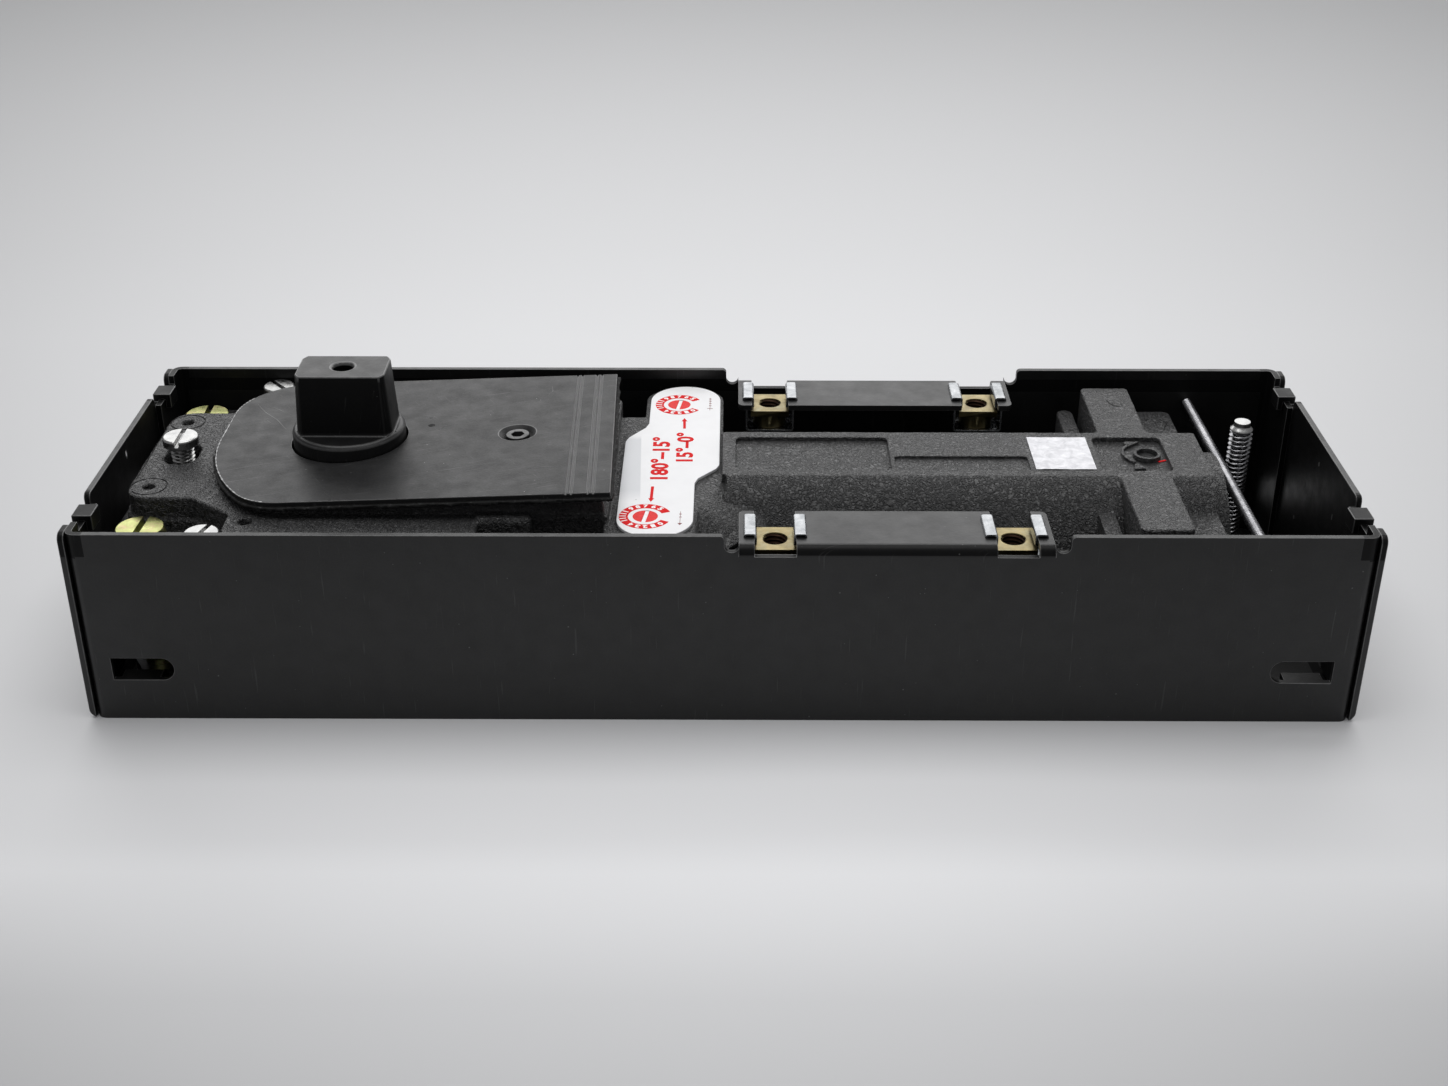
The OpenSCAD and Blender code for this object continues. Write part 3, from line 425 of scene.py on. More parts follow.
# %% Metals
def plated(name, light, dark, rough, streak=(1, 1, 1), grain_mm=0.6, depth=0.012, tint=None):
    """Metal whose tint clouds between two colours, with streaks along one axis and fine pits."""
    look = Finish(name, metallic=1.0)
    cloud = look.noise(4.0, 4.0, 0.6, distort=0.4)
    colour = look.mix(look.span(cloud, 0.32, 0.68), dark, light)
    if tint is not None:
        colour = look.mix(look.span(look.noise(2.3, 2.0, distort=1.0), 0.50, 0.72, 0.0, 0.7), colour, tint)
    lines = look.noise(grain_mm, 3.0, 0.6, stretch=streak)
    colour = look.mix(look.span(lines, 0.62, 0.80, 0.0, 0.45), colour, tuple(c * 0.6 for c in dark))
    roughness = look.span(look.noise(1.7, 3.0), 0.3, 0.7, rough - 0.05, rough + 0.09)
    return look.wear(colour, roughness, look.bump(lines, depth))


bright_zinc = plated("bright_zinc", (0.50, 0.51, 0.53), (0.30, 0.31, 0.33), 0.30, streak=(1, 1, 0.15))
turned_zinc = plated("turned_zinc", (0.46, 0.46, 0.45), (0.35, 0.35, 0.35), 0.28, grain_mm=0.8)
thread_zinc = plated("thread_zinc", (0.34, 0.34, 0.35), (0.18, 0.18, 0.19), 0.24, grain_mm=0.5, depth=0.03)
clip_zinc = plated("clip_zinc", (0.40, 0.41, 0.42), (0.20, 0.21, 0.22), 0.24, streak=(1, 0.08, 1), grain_mm=0.7)
yellow_zinc = plated("yellow_zinc", (0.30, 0.245, 0.12), (0.17, 0.135, 0.065), 0.34, tint=(0.25, 0.235, 0.145))
# painted shade: the thread inside each nut's bore is coloured near-black brown, as it lies in shade
bore_brown = plated("bore_brown", (0.055, 0.032, 0.022), (0.022, 0.012, 0.008), 0.45)
bolt_zinc = plated("bolt_zinc", (0.56, 0.585, 0.24), (0.30, 0.31, 0.11), 0.30, tint=(0.50, 0.36, 0.22))
steel = plated("steel", (0.52, 0.52, 0.54), (0.34, 0.34, 0.35), 0.36, depth=0.02)
bronze = plated("bronze", (0.62, 0.43, 0.21), (0.46, 0.30, 0.13), 0.38)
dark_screw = plated("dark_screw", (0.13, 0.13, 0.13), (0.06, 0.06, 0.06), 0.42)
METALS = (bright_zinc, turned_zinc, thread_zinc, clip_zinc, yellow_zinc, bore_brown, bolt_zinc, steel, bronze,
          dark_screw)
print("metals:", [m.name for m in METALS])

# %% [markdown]
# ## Rubber, red lacquer, label and foil
# The seals and the cover gasket are black nitrile. The valve heads carry red lacquer that a screwdriver has
# worn. The dial label is moulded white plastic, and its print is flat red ink; the strip that is bent down is
# coloured a little grey, as painted shade. The foil sticker is thin aluminium, so its bumps are real creases and
# its gloss is high.

# %% Other finishes
def rubber_finish():
    look = Finish("rubber", specular=0.3)
    rough = look.noise(1.1, 4.0, 0.7)
    dusty = look.mix(look.span(rough, 0.54, 0.74, 0.0, 0.7), grey(0.005), grey(0.09))
    return look.wear(dusty, 0.78, look.bump(rough, 0.12))


def lacquer_finish():
    look = Finish("red_head", specular=0.12)
    worn = look.noise(0.9, 3.0, 0.6)
    red = look.mix(look.span(worn, 0.35, 0.65), (0.66, 0.012, 0.012), (0.80, 0.030, 0.028))
    return look.wear(red, look.span(worn, 0.3, 0.7, 0.40, 0.55), look.bump(worn, 0.015))


def label_finish():
    """White plastic, with painted shade: the strip left of the bend line, which is bent down, is coloured greyer.
    """
    look = Finish("label", specular=0.4)
    across = look.axis("Y")
    bent_strip_shade = look.math("ADD", look.axis("X"), look.times(across, 0.0362))
    bent_strip_shade = look.span(bent_strip_shade, -0.02075, -0.02055, 1.0, 0.0)
    bent_strip_shade = look.times(bent_strip_shade, look.span(across, -0.0250, -0.0185), look.span(across, 0.0125, 0.0100))
    cloud = look.noise(9.0, 3.0)
    white = look.mix(look.span(cloud, 0.3, 0.7), (0.75, 0.75, 0.76), (0.81, 0.81, 0.82))
    white = look.mix(look.times(bent_strip_shade, 0.9), white, (0.60, 0.61, 0.63))
    white = look.mix(look.times(look.specks(5.0, 0.05), 0.7), white, grey(0.30))
    return look.wear(white, look.span(cloud, 0.3, 0.7, 0.38, 0.50), look.bump(look.noise(1.4, 2.0), 0.01))


def ink_finish(name, colour):
    look = Finish(name, specular=0.05)
    patchy = look.noise(0.7, 3.0, 0.7)
    fade = tuple(min(1.0, c * 1.2 + 0.01) for c in colour)
    return look.wear(look.mix(look.span(patchy, 0.45, 0.75), colour, fade), 0.6, look.bump(patchy, 0.004))


def foil_finish():
    look = Finish("foil", metallic=0.75)
    crease = look.noise(2.4, 4.0, 0.6, distort=0.6)
    colour = look.mix(look.span(crease, 0.3, 0.7), (0.36, 0.36, 0.38), (0.66, 0.66, 0.68))
    return look.wear(colour, look.span(crease, 0.3, 0.7, 0.34, 0.50), look.bump(crease, 0.05))


rubber = rubber_finish()
red_lacquer = lacquer_finish()
label_white = label_finish()
red_ink = ink_finish("red_ink", (0.64, 0.010, 0.012))
pale_ink = ink_finish("pale_ink", (0.88, 0.86, 0.86))
grey_ink = ink_finish("grey_ink", (0.24, 0.10, 0.10))
foil = foil_finish()
print("others:", [m.name for m in (rubber, red_lacquer, label_white, red_ink, pale_ink, grey_ink, foil)])
SLOT_FINISH = {
    "case_paint": paint, "casting": casting, "bright_zinc": bright_zinc, "yellow_zinc": yellow_zinc,
    "steel": steel, "dark_screw": dark_screw, "bronze": bronze, "rubber": rubber, "red_head": red_lacquer,
    "label": label_white, "foil": foil,
}

# %% [markdown]
# ## From CAD mesh to a surface with soft edges
# A CAD edge is perfectly sharp, and a sharp edge never catches the light. A real pressed sheet has edges
# rounded by a quarter of a millimetre. They could be drawn rounded in CAD, but a Bevel modifier is quicker to
# change. First a copy of a node is merged, because CAD triangles come loose, and its flat faces are joined.

# %% Copies of CAD nodes
def new_object(name, mesh):
    obj = bpy.data.objects.new(name, mesh)
    scene.collection.objects.link(obj)
    return obj


def faced_out(bm):
    """Turns faces outwards: on a dished shape the recalculation alone can choose the wrong side."""
    bmesh.ops.recalc_face_normals(bm, faces=bm.faces)
    if bm.calc_volume(signed=True) < 0:
        bmesh.ops.reverse_faces(bm, faces=bm.faces)


def mesh_object(name, bm):
    """A new object from a bmesh, with its faces turned outwards."""
    faced_out(bm)
    mesh = bpy.data.meshes.new(name)
    bm.to_mesh(mesh)
    bm.free()
    return new_object(name, mesh)


def merged(node):
    """A bmesh of a CAD node with its loose triangles merged into closed solids."""
    bm = bmesh.new()
    bm.from_mesh(nodes[node].data)
    bmesh.ops.remove_doubles(bm, verts=bm.verts, dist=2e-6)
    return bm


def joined_faces(bm):
    """Joins triangles that lie in one plane, so that only real edges are left."""
    bmesh.ops.dissolve_limit(bm, angle_limit=math.radians(0.6), verts=bm.verts, edges=bm.edges)
    return bm


def settled(obj):
    """Turns an object with its modifiers into a plain mesh."""
    graph = bpy.context.evaluated_depsgraph_get()
    mesh = bpy.data.meshes.new_from_object(obj.evaluated_get(graph))
    obj.modifiers.clear()
    plain = obj.data
    obj.data = mesh
    bpy.data.meshes.remove(plain)
    return obj


def places(mesh):
    """The vertices of a mesh as an array with one row each."""
    flat = np.empty(len(mesh.vertices) * 3)
    mesh.vertices.foreach_get("co", flat)
    return flat.reshape(-1, 3)


def move_to(mesh, points):
    """Puts the vertices of a mesh at the rows of an array."""
    mesh.vertices.foreach_set("co", points.ravel())
    mesh.update()


print("copies are merged within 2 micrometres")

# %% [markdown]
# ## Bevels that behave
# A bevel on a long thin sheet goes wrong in two ways. Where short bend edges meet a wider rounding, a point can
# fly far off the sheet, and where a flat face has holes, the cut that joins them can cross a rounded edge. Both
# could be avoided with a narrower bevel, but the light edge would be lost. Here stray points are found by their
# distance from the plain surface and brought back, and flat areas are filled again from their outlines.

# %% Repairs after a bevel
SAME_PLANE = 0.99999  # the cosine of 0.26 degrees


def flat_areas(bm):
    """Groups of touching faces that lie in one plane, in the order of the mesh."""
    seen, areas = set(), []
    for first in bm.faces:
        if first in seen or len(first.verts) <= 4:
            continue
        area = {first: None}
        queue = [first]
        for face in queue:
            for edge in face.edges:
                for other in edge.link_faces:
                    if other not in area and abs(other.normal.dot(face.normal)) > SAME_PLANE:
                        area[other] = None
                        queue.append(other)
        seen.update(area)
        if len(area) > 1:
            areas.append(area)
    return areas


def refilled(obj):
    """Fills flat areas again from their outlines, as a bevel can push a cut line across a curved edge."""
    bm = bmesh.new()
    bm.from_mesh(obj.data)
    for area in flat_areas(bm):
        largest = max(area, key=lambda f: f.calc_area())
        normal, material = largest.normal.copy(), largest.material_index
        edges = dict.fromkeys(e for f in area for e in f.edges)
        inner = [e for e in edges if all(f in area for f in e.link_faces)]
        outline = [e for e in edges if not all(f in area for f in e.link_faces)]
        bmesh.ops.delete(bm, geom=list(area), context="FACES_ONLY")
        bmesh.ops.delete(bm, geom=inner, context="EDGES_FACES")
        filled = bmesh.ops.triangle_fill(bm, edges=outline, use_beauty=True, normal=normal)["geom"]
        for face in filled:
            if isinstance(face, bmesh.types.BMFace):
                face.material_index = material
    faced_out(bm)
    bm.to_mesh(obj.data)
    bm.free()
    return obj


def pulled_back(obj, plain, tree, limit):
    """Brings back points that a bevel threw off the plain surface, to between their neighbours."""
    bm = bmesh.new()
    bm.from_mesh(obj.data)
    stray = [v for v in bm.verts if tree.find_nearest(v.co)[3] > limit]
    for _ in range(40):
        for v in stray:
            near = [e.other_vert(v).co for e in v.link_edges]
            v.co = sum(near, Vector()) / len(near)
    for v in stray:
        v.co = tree.find_nearest(v.co)[0]
    bm.to_mesh(obj.data)
    bm.free()
    move_to(obj.data, np.clip(places(obj.data), plain.min(axis=0), plain.max(axis=0)))
    return obj


print("two repairs for bevels")

# %% [markdown]
# ## Rounded edges and shading
# The Bevel modifier rounds what is sharper than 35 degrees, in three steps, and its faces can take a second
# material. Smooth shading would then bend the look of large flat faces, so weighted normals keep them flat.

# %% Softening
def soften(obj, width_mm, edge_material=None):
    """Rounds the sharp edges of an object, with a second material on the rounding."""
    plain = places(obj.data)
    tree = BVHTree.FromPolygons(plain.tolist(), [tuple(p.vertices) for p in obj.data.polygons])
    if edge_material is not None:
        obj.data.materials.append(edge_material)
    bevel = obj.modifiers.new("soften", "BEVEL")
    bevel.width = width_mm * MM
    bevel.segments = 3
    bevel.limit_method = "ANGLE"
    bevel.angle_limit = math.radians(35)
    bevel.use_clamp_overlap = False
    bevel.miter_outer = "MITER_ARC"
    bevel.material = 1 if edge_material is not None else -1
    return refilled(pulled_back(settled(obj), plain, tree, 0.5 * width_mm * MM))


def smooth(obj, angle=32):
    """Shades an object smooth up to an angle, with the normals of its large flat faces left flat."""
    obj.data.shade_smooth()
    obj.data.set_sharp_from_angle(angle=math.radians(angle))
    level = obj.modifiers.new("level", "WEIGHTED_NORMAL")
    level.keep_sharp = True
    return settled(obj)


print("edges can be rounded")

# %% Placing and counting
def place(obj, body, slot, *replaced):
    """Says which body a finished piece rides on and the CAD nodes it stands for; slot is not used."""
    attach(obj, body)
    if replaced:
        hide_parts(*replaced)
    return obj


def triangles(obj):
    """How many triangles the faces of an object make."""
    return sum(len(p.vertices) - 2 for p in obj.data.polygons)


def open_edges(obj):
    """How many edges don't join exactly two faces: 0 on a closed piece."""
    count = np.zeros(len(obj.data.edges), dtype=int)
    loops = np.empty(len(obj.data.loops), dtype=int)
    obj.data.loops.foreach_get("edge_index", loops)
    np.add.at(count, loops, 1)
    return int((count != 2).sum())


def report(*objs):
    """Prints what was made."""
    for obj in objs:
        print(f"{obj.name}: {triangles(obj)} triangles, {open_edges(obj)} open edges")


print("pieces can be placed")

# %% Sheet pieces
def eased(node, name, material, width_mm, edge_material):
    """A copy of a CAD node with rounded edges in its own material."""
    obj = mesh_object(name, joined_faces(merged(node)))
    obj.data.materials.append(material)
    return smooth(soften(obj, width_mm, edge_material))


SHEET_PIECES = [
    ("floor_pan", "case_pan", paint, 0.22),
    ("front_wall", "case_front", paint, 0.10),
    ("back_wall", "case_back", paint, 0.10),
    ("tail_saddle", "tail_foot", paint, 0.12),
    ("cover_plate", "sloped_cover", cover_paint, 0.16),
]
for node_name, piece_name, material, width in SHEET_PIECES:
    piece = eased(node_name, piece_name, material, width, wall_edge if "wall" in node_name else edge_paint)
    place(piece, "case", "case_paint", node_name)
    report(piece)

# %% [markdown]
# ## Trees of Geometry Nodes
# Some shapes follow a rule: a casting's skin is its form plus noise, and a thread is a cylinder whose radius
# rises and falls along a helix. Geometry Nodes hold such a rule once, with named inputs for the sizes. The
# helper below adds nodes with one call each, and sets a modifier's inputs by their identifiers.

# %% Node tree helper
class Rule:
    """A Geometry Nodes tree with named inputs."""

    def __init__(self, name, **inputs):
        self.tree = bpy.data.node_groups.new(name, "GeometryNodeTree")
        self.tree.interface.new_socket("Geometry", in_out="INPUT", socket_type="NodeSocketGeometry")
        for label, kind in inputs.items():
            self.tree.interface.new_socket(label, in_out="INPUT", socket_type="NodeSocket" + kind)
        self.tree.interface.new_socket("Geometry", in_out="OUTPUT", socket_type="NodeSocketGeometry")
        self.source = self.tree.nodes.new("NodeGroupInput")
        self.target = self.tree.nodes.new("NodeGroupOutput")

    def given(self, label):
        return self.source.outputs[label]

    def add(self, kind, links=(), **settings):
        """Adds a node, sets it up, and links or fills the sockets in links."""
        node = self.tree.nodes.new(kind)
        for key, value in settings.items():
            setattr(node, key, value)
        for key, value in dict(links).items():
            if isinstance(value, bpy.types.NodeSocket):
                self.tree.links.new(value, node.inputs[key])
            else:
                node.inputs[key].default_value = value
        return node

    def math(self, operation, a, b=0.0):
        return self.add("ShaderNodeMath", {0: a, 1: b}, operation=operation).outputs[0]

    def span(self, value, low, high, to_low=0.0, to_high=1.0):
        links = {"Value": value, "From Min": low, "From Max": high, "To Min": to_low, "To Max": to_high}
        return self.add("ShaderNodeMapRange", links).outputs["Result"]

    def finish(self, geometry):
        self.tree.links.new(geometry, self.target.inputs["Geometry"])
        return self.tree


def run_rule(obj, tree, **values):
    """Adds the tree to an object as a modifier, with its inputs set by identifier."""
    modifier = obj.modifiers.new(tree.name, "NODES")
    modifier.node_group = tree
    for item in tree.interface.items_tree:
        if item.in_out == "INPUT" and item.name in values:
            modifier[item.identifier] = values[item.name]
    return modifier


print("rules can be built")

# %% [markdown]
# ## The cast body
# The body is the piece that takes the most skill: its edges are soft, its skin is rough, and no face is quite
# flat. Beveling every edge of such a form fails where many edges meet. A voxel remesh of the CAD solid gives
# an even skin instead, smoothing rounds it as a pattern's fillets do, a rule of noise roughens what faces up,
# and a decimation keeps small faces only where there is shape. The bore is then put back to its true radius.

# %% Casting skin rule
def skin_rule():
    """Moves the points that face up along their normals: coarse noise on slopes, less on flat tops."""
    rule = Rule("cast_skin", Coarse="Float", Fine="Float", Finish="Material")
    point = rule.add("GeometryNodeInputPosition").outputs["Position"]
    normal = rule.add("GeometryNodeInputNormal").outputs["Normal"]
    facing = rule.add("ShaderNodeSeparateXYZ", {0: normal}).outputs["Z"]
    height = rule.add("ShaderNodeSeparateXYZ", {0: point}).outputs["Z"]
    mask = rule.math("MULTIPLY", rule.span(facing, 0.02, 0.30), rule.span(height, 0.028, 0.032))
    slope = rule.span(facing, 0.985, 0.90, 0.30, 1.0)
    pebble = rule.add("ShaderNodeTexNoise", {"Vector": point, "Scale": 620.0, "Detail": 2.0}).outputs[0]
    swell = rule.add("ShaderNodeTexNoise", {"Vector": point, "Scale": 150.0, "Detail": 1.0}).outputs[0]
    rough = rule.math("MULTIPLY", rule.math("SUBTRACT", pebble, 0.5), rule.given("Fine"))
    uneven = rule.math("MULTIPLY", rule.math("SUBTRACT", swell, 0.5), rule.given("Coarse"))
    push = rule.math("MULTIPLY", rule.math("ADD", rough, uneven), rule.math("MULTIPLY", mask, slope))
    shift = rule.add("ShaderNodeVectorMath", {0: normal, "Scale": push}, operation="SCALE").outputs[0]
    moved = rule.add("GeometryNodeSetPosition", {"Geometry": rule.given("Geometry"), "Offset": shift})
    real = rule.add("GeometryNodeRealizeInstances", {"Geometry": moved.outputs[0]})
    done = rule.add("GeometryNodeSetMaterial", {"Geometry": real.outputs[0], "Material": rule.given("Finish")})
    return rule.finish(done.outputs[0])


SKIN = skin_rule()
print("rule", SKIN.name, "with", len(SKIN.nodes), "nodes")

# %% Cast body
BORE_AXIS_Z = 0.024
BORE_RADIUS = 0.0171
BORE_SEARCH = 0.0155  # points nearer the axis belong to other pieces of the casting
BORE_ENDS = (-0.055, 0.106)


def free_bore(obj):
    """Puts points that stray into the cylinder bore back on its wall."""
    points = places(obj.data)
    away = points[:, 1:] - (0.0, BORE_AXIS_Z)
    radius = np.hypot(away[:, 0], away[:, 1])
    along = (points[:, 0] > BORE_ENDS[0]) & (points[:, 0] < BORE_ENDS[1])
    stray = (radius < BORE_RADIUS) & (radius > BORE_SEARCH) & along
    points[stray, 1:] = (0.0, BORE_AXIS_Z) + away[stray] * (BORE_RADIUS / radius[stray])[:, None]
    move_to(obj.data, points)
    return int(stray.sum())


def cast_body(voxel_mm, most_triangles):
    """The casting with rounded edges and a rough skin."""
    obj = mesh_object("cast_body", merged("closer_body"))
    remesh = obj.modifiers.new("voxels", "REMESH")
    remesh.mode = "VOXEL"
    remesh.voxel_size = voxel_mm * MM
    ease = obj.modifiers.new("ease", "SMOOTH")
    ease.factor = 0.5
    ease.iterations = 3
    run_rule(obj, SKIN, Coarse=0.00022, Fine=0.00020, Finish=casting)
    settled(obj)
    thin = obj.modifiers.new("thin", "DECIMATE")
    thin.ratio = min(1.0, most_triangles / triangles(obj))
    settled(obj)
    obj.data.shade_smooth()
    return obj


SHOULDER_DROP = 0.0055


def slope_shoulder(obj):
    """Lets the front shoulder beside the label fall away towards the wall, as the cast flank does."""
    points = places(obj.data)
    x, y, z = points.T
    flare = 0.0456 - 0.364 * (x + 0.0070) + 0.158 * (y + 0.0300)  # the plane that trims the block
    block = (x > -0.0056) & (x < 0.0008) & (y < -0.0122) & (y > -0.0268) & (z > 0.0405)
    z[block] = np.minimum(z[block], flare[block])
    across = np.clip((-0.0235 - y) / 0.0150, 0.0, 1.0)
    along = np.clip((x + 0.0065) / 0.0030, 0.0, 1.0) * (x < 0.0125)
    high = np.clip((z - 0.0385) / 0.0040, 0.0, 1.0)
    z -= SHOULDER_DROP * across * across * (3 - 2 * across) * along * high
    move_to(obj.data, points)


VOXEL_MM = 0.36
MOST_TRIANGLES = 185000
body = cast_body(VOXEL_MM, MOST_TRIANGLES)
print("bore points put back:", free_bore(body))
slope_shoulder(body)
place(body, "case", "casting", "closer_body")
report(body)

# %% [markdown]
# ## Threads
# A rolled thread is a helix of ridges. It could be a curve swept along a spiral, but that makes ends that
# don't close. Here a closed cylinder's points move in and out with the phase of the helix, and the ridges fade
# at both ends, as they do on a screw. The same rule cuts nuts, when its result is subtracted from them.

# %% Thread rule
def thread_rule():
    """A closed cylinder along Z whose radius follows a helix of ridges."""
    rule = Rule("thread", Radius="Float", Depth="Float", Pitch="Float", Length="Float", Fade="Float",
                Rings="Int", Sides="Int", Finish="Material")
    links = {"Vertices": rule.given("Sides"), "Side Segments": rule.given("Rings"),
             "Radius": rule.given("Radius"), "Depth": rule.given("Length")}
    bar = rule.add("GeometryNodeMeshCylinder", links, fill_type="NGON").outputs["Mesh"]
    point = rule.add("GeometryNodeInputPosition").outputs["Position"]
    axes = rule.add("ShaderNodeSeparateXYZ", {0: point}).outputs
    turn = rule.math("DIVIDE", rule.math("ARCTAN2", axes["Y"], axes["X"]), 2.0 * math.pi)
    phase = rule.math("FRACT", rule.math("SUBTRACT", rule.math("DIVIDE", axes["Z"], rule.given("Pitch")), turn))
    wave = rule.math("ABSOLUTE", rule.math("SUBTRACT", rule.math("MULTIPLY", phase, 2.0), 1.0))
    root = rule.span(wave, 0.12, 0.80, 1.0, 0.0)
    from_end = rule.math("SUBTRACT", rule.math("DIVIDE", rule.given("Length"), 2.0),
                         rule.math("ABSOLUTE", axes["Z"]))
    fade = rule.math("MINIMUM", rule.math("DIVIDE", from_end, rule.given("Fade")), 1.0)
    root = rule.math("MAXIMUM", root, rule.math("SUBTRACT", 1.0, fade))
    share = rule.math("DIVIDE", rule.math("MULTIPLY", root, rule.given("Depth")), rule.given("Radius"))
    share = rule.math("SUBTRACT", 1.0, share)
    placed = rule.add("ShaderNodeCombineXYZ", {0: rule.math("MULTIPLY", axes["X"], share),
                                               1: rule.math("MULTIPLY", axes["Y"], share), 2: axes["Z"]})
    moved = rule.add("GeometryNodeSetPosition", {"Geometry": bar, "Position": placed.outputs[0]})
    real = rule.add("GeometryNodeRealizeInstances", {"Geometry": moved.outputs[0]})
    done = rule.add("GeometryNodeSetMaterial", {"Geometry": real.outputs[0], "Material": rule.given("Finish")})
    return rule.finish(done.outputs[0])


THREAD = thread_rule()
print("rule", THREAD.name, "with", len(THREAD.nodes), "nodes")

# %% Threaded bars
def threaded_bar(name, start, end, radius_mm, pitch_mm, depth_mm, material, sides=24, fade_mm=0.8):
    """A bar with a thread from start to end, both in mm."""
    start, end = Vector(start) * MM, Vector(end) * MM
    length = (end - start).length
    obj = new_object(name, bpy.data.meshes.new(name))
    run_rule(obj, THREAD, Radius=radius_mm * MM, Depth=depth_mm * MM, Pitch=pitch_mm * MM, Length=length,
             Fade=fade_mm * MM, Rings=int(round(length / MM / pitch_mm * 7)), Sides=sides, Finish=material)
    settled(obj)
    turn = (end - start).to_track_quat("Z", "Y").to_matrix().to_4x4()
    obj.data.transform(Matrix.Translation((start + end) / 2) @ turn)
    obj.data.shade_smooth()
    return obj


def joined(name, *objs):
    """One object of several, each a closed shell."""
    bm = bmesh.new()
    materials = []
    for obj in objs:
        first = len(bm.faces)
        bm.from_mesh(obj.data)
        bm.faces.ensure_lookup_table()
        for face in bm.faces[first:]:
            own = obj.data.materials[face.material_index]
            if own not in materials:
                materials.append(own)
            face.material_index = materials.index(own)
    mesh = bpy.data.meshes.new(name)
    bm.to_mesh(mesh)
    bm.free()
    for own in materials:
        mesh.materials.append(own)
    for obj in objs:
        bpy.data.objects.remove(obj)
    return new_object(name, mesh)


def node_middle(node):
    """The middle of a node's box, in mm."""
    low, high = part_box(node)
    return [(a + b) / 2 / MM for a, b in zip(low, high)]


rod_low, rod_high = (Vector(v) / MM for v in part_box("cross_rod"))
ROD_RADIUS = (rod_high.z - rod_low.z) / 2
rod_z = (rod_low.z + rod_high.z) / 2
rod = threaded_bar("cross_rod_thread", (rod_high.x - ROD_RADIUS, rod_low.y + 0.05, rod_z),
                   (rod_low.x + ROD_RADIUS, rod_high.y - 0.05, rod_z), ROD_RADIUS, 0.8, 0.26, thread_zinc, 16)
place(rod, "case", "bright_zinc", "cross_rod")
report(rod)

# %% [markdown]
# ## Studs and screw heads
# A screw's head is turned and slotted, so the head of the CAD screw is kept: the copy is cut just under the
# head, the cut is closed and its edges are softened. The shank below it is made again with its thread.

# %% Screws
def part_above(name, node, z_mm, material, width_mm=0.22):
    """What a CAD node has above a height, closed again and softened."""
    bm = merged(node)
    geometry = bm.verts[:] + bm.edges[:] + bm.faces[:]
    cut = bmesh.ops.bisect_plane(bm, geom=geometry, dist=1e-7, plane_co=(0, 0, z_mm * MM),
                                 plane_no=(0, 0, 1), clear_inner=True)
    bmesh.ops.holes_fill(bm, edges=[e for e in cut["geom_cut"] if isinstance(e, bmesh.types.BMEdge)])
    obj = mesh_object(name, joined_faces(bm))
    obj.data.materials.append(material)
    return smooth(soften(obj, width_mm))


def screw_places(node):
    """Middle of each solid of a node, seen from above, in mm."""
    bm = merged(node)
    middles, left = [], set(bm.verts)
    while left:
        island, edge = set(), [left.pop()]
        while edge:
            vert = edge.pop()
            island.add(vert)
            for link in vert.link_edges:
                other = link.other_vert(vert)
                if other in left:
                    left.discard(other)
                    edge.append(other)
        low = [min(v.co[i] for v in island) for i in range(3)]
        high = [max(v.co[i] for v in island) for i in range(3)]
        middles.append(tuple((a + b) / 2 / MM for a, b in zip(low, high)))
    bm.free()
    return sorted(middles)


def slotted_screws(name, node, head_z, bottom_z, radius_mm, slot):
    """The heads of a node's screws on threaded shanks."""
    shanks = [threaded_bar(f"{name}_{i}", (x, y, bottom_z), (x, y, head_z + 0.4), radius_mm, 1.0, 0.55, turned_zinc)
              for i, (x, y, _) in enumerate(screw_places(node))]
    heads = part_above(name + "_heads", node, head_z + 0.02, turned_zinc)
    obj = smooth(joined(name, heads, *shanks))
    return place(obj, "case", slot, node)


level_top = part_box("levelling_screws")[1][2] / MM
clamp_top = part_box("clamp_screw")[1][2] / MM
levellers = slotted_screws("levelling_screws_turned", "levelling_screws", level_top - 3.4, 1.5, 2.95, "bright_zinc")
clamp = slotted_screws("clamp_screw_turned", "clamp_screw", clamp_top - 2.4, 1.5, 2.95, "bright_zinc")
stud_x, stud_y, _ = node_middle("tail_stud")
stud_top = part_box("tail_stud")[1][2] / MM
stud_tip = part_above("tail_stud_tip", "tail_stud", stud_top - 2.4, turned_zinc, 0.18)
stud_bar = threaded_bar("tail_stud_bar", (stud_x, stud_y, 1.5), (stud_x, stud_y, stud_top - 2.0), 3.0, 1.25, 0.75,
                        thread_zinc)
stud = smooth(joined("tail_stud_thread", stud_tip, stud_bar))
place(stud, "case", "bright_zinc", "tail_stud")
report(levellers, clamp, stud)

# %% [markdown]
# ## Cage nuts, clips and bolts
# Four square nuts wait for the floor plate's screws, each held by a spring clip with rolled hooks. The nut's
# bore gets a thread: the thread rule makes a bar at the thread's outer size, and a Boolean takes it away from
# one nut, which is then copied to the other three places.

# %% Cage nuts
def one_solid(node, near, name):
    """A copy of the one solid of a node that is nearest a place in mm."""
    bm = merged(node)
    start = min(bm.verts, key=lambda v: (v.co.xy - Vector(near[:2]) * MM).length)
    island, edge = {start}, [start]
    while edge:
        for link in edge.pop().link_edges:
            for other in link.verts:
                if other not in island:
                    island.add(other)
                    edge.append(other)
    bmesh.ops.delete(bm, geom=[v for v in bm.verts if v not in island], context="VERTS")
    return mesh_object(name, bm)


def carved(obj, cutter, solver="EXACT"):
    """obj less cutter, as a plain mesh."""
    cut = obj.modifiers.new("cut", "BOOLEAN")
    cut.operation = "DIFFERENCE"
    cut.solver = solver
    cut.material_mode = "TRANSFER"
    cut.object = cutter
    settled(obj)
    bpy.data.objects.remove(cutter)
    return obj


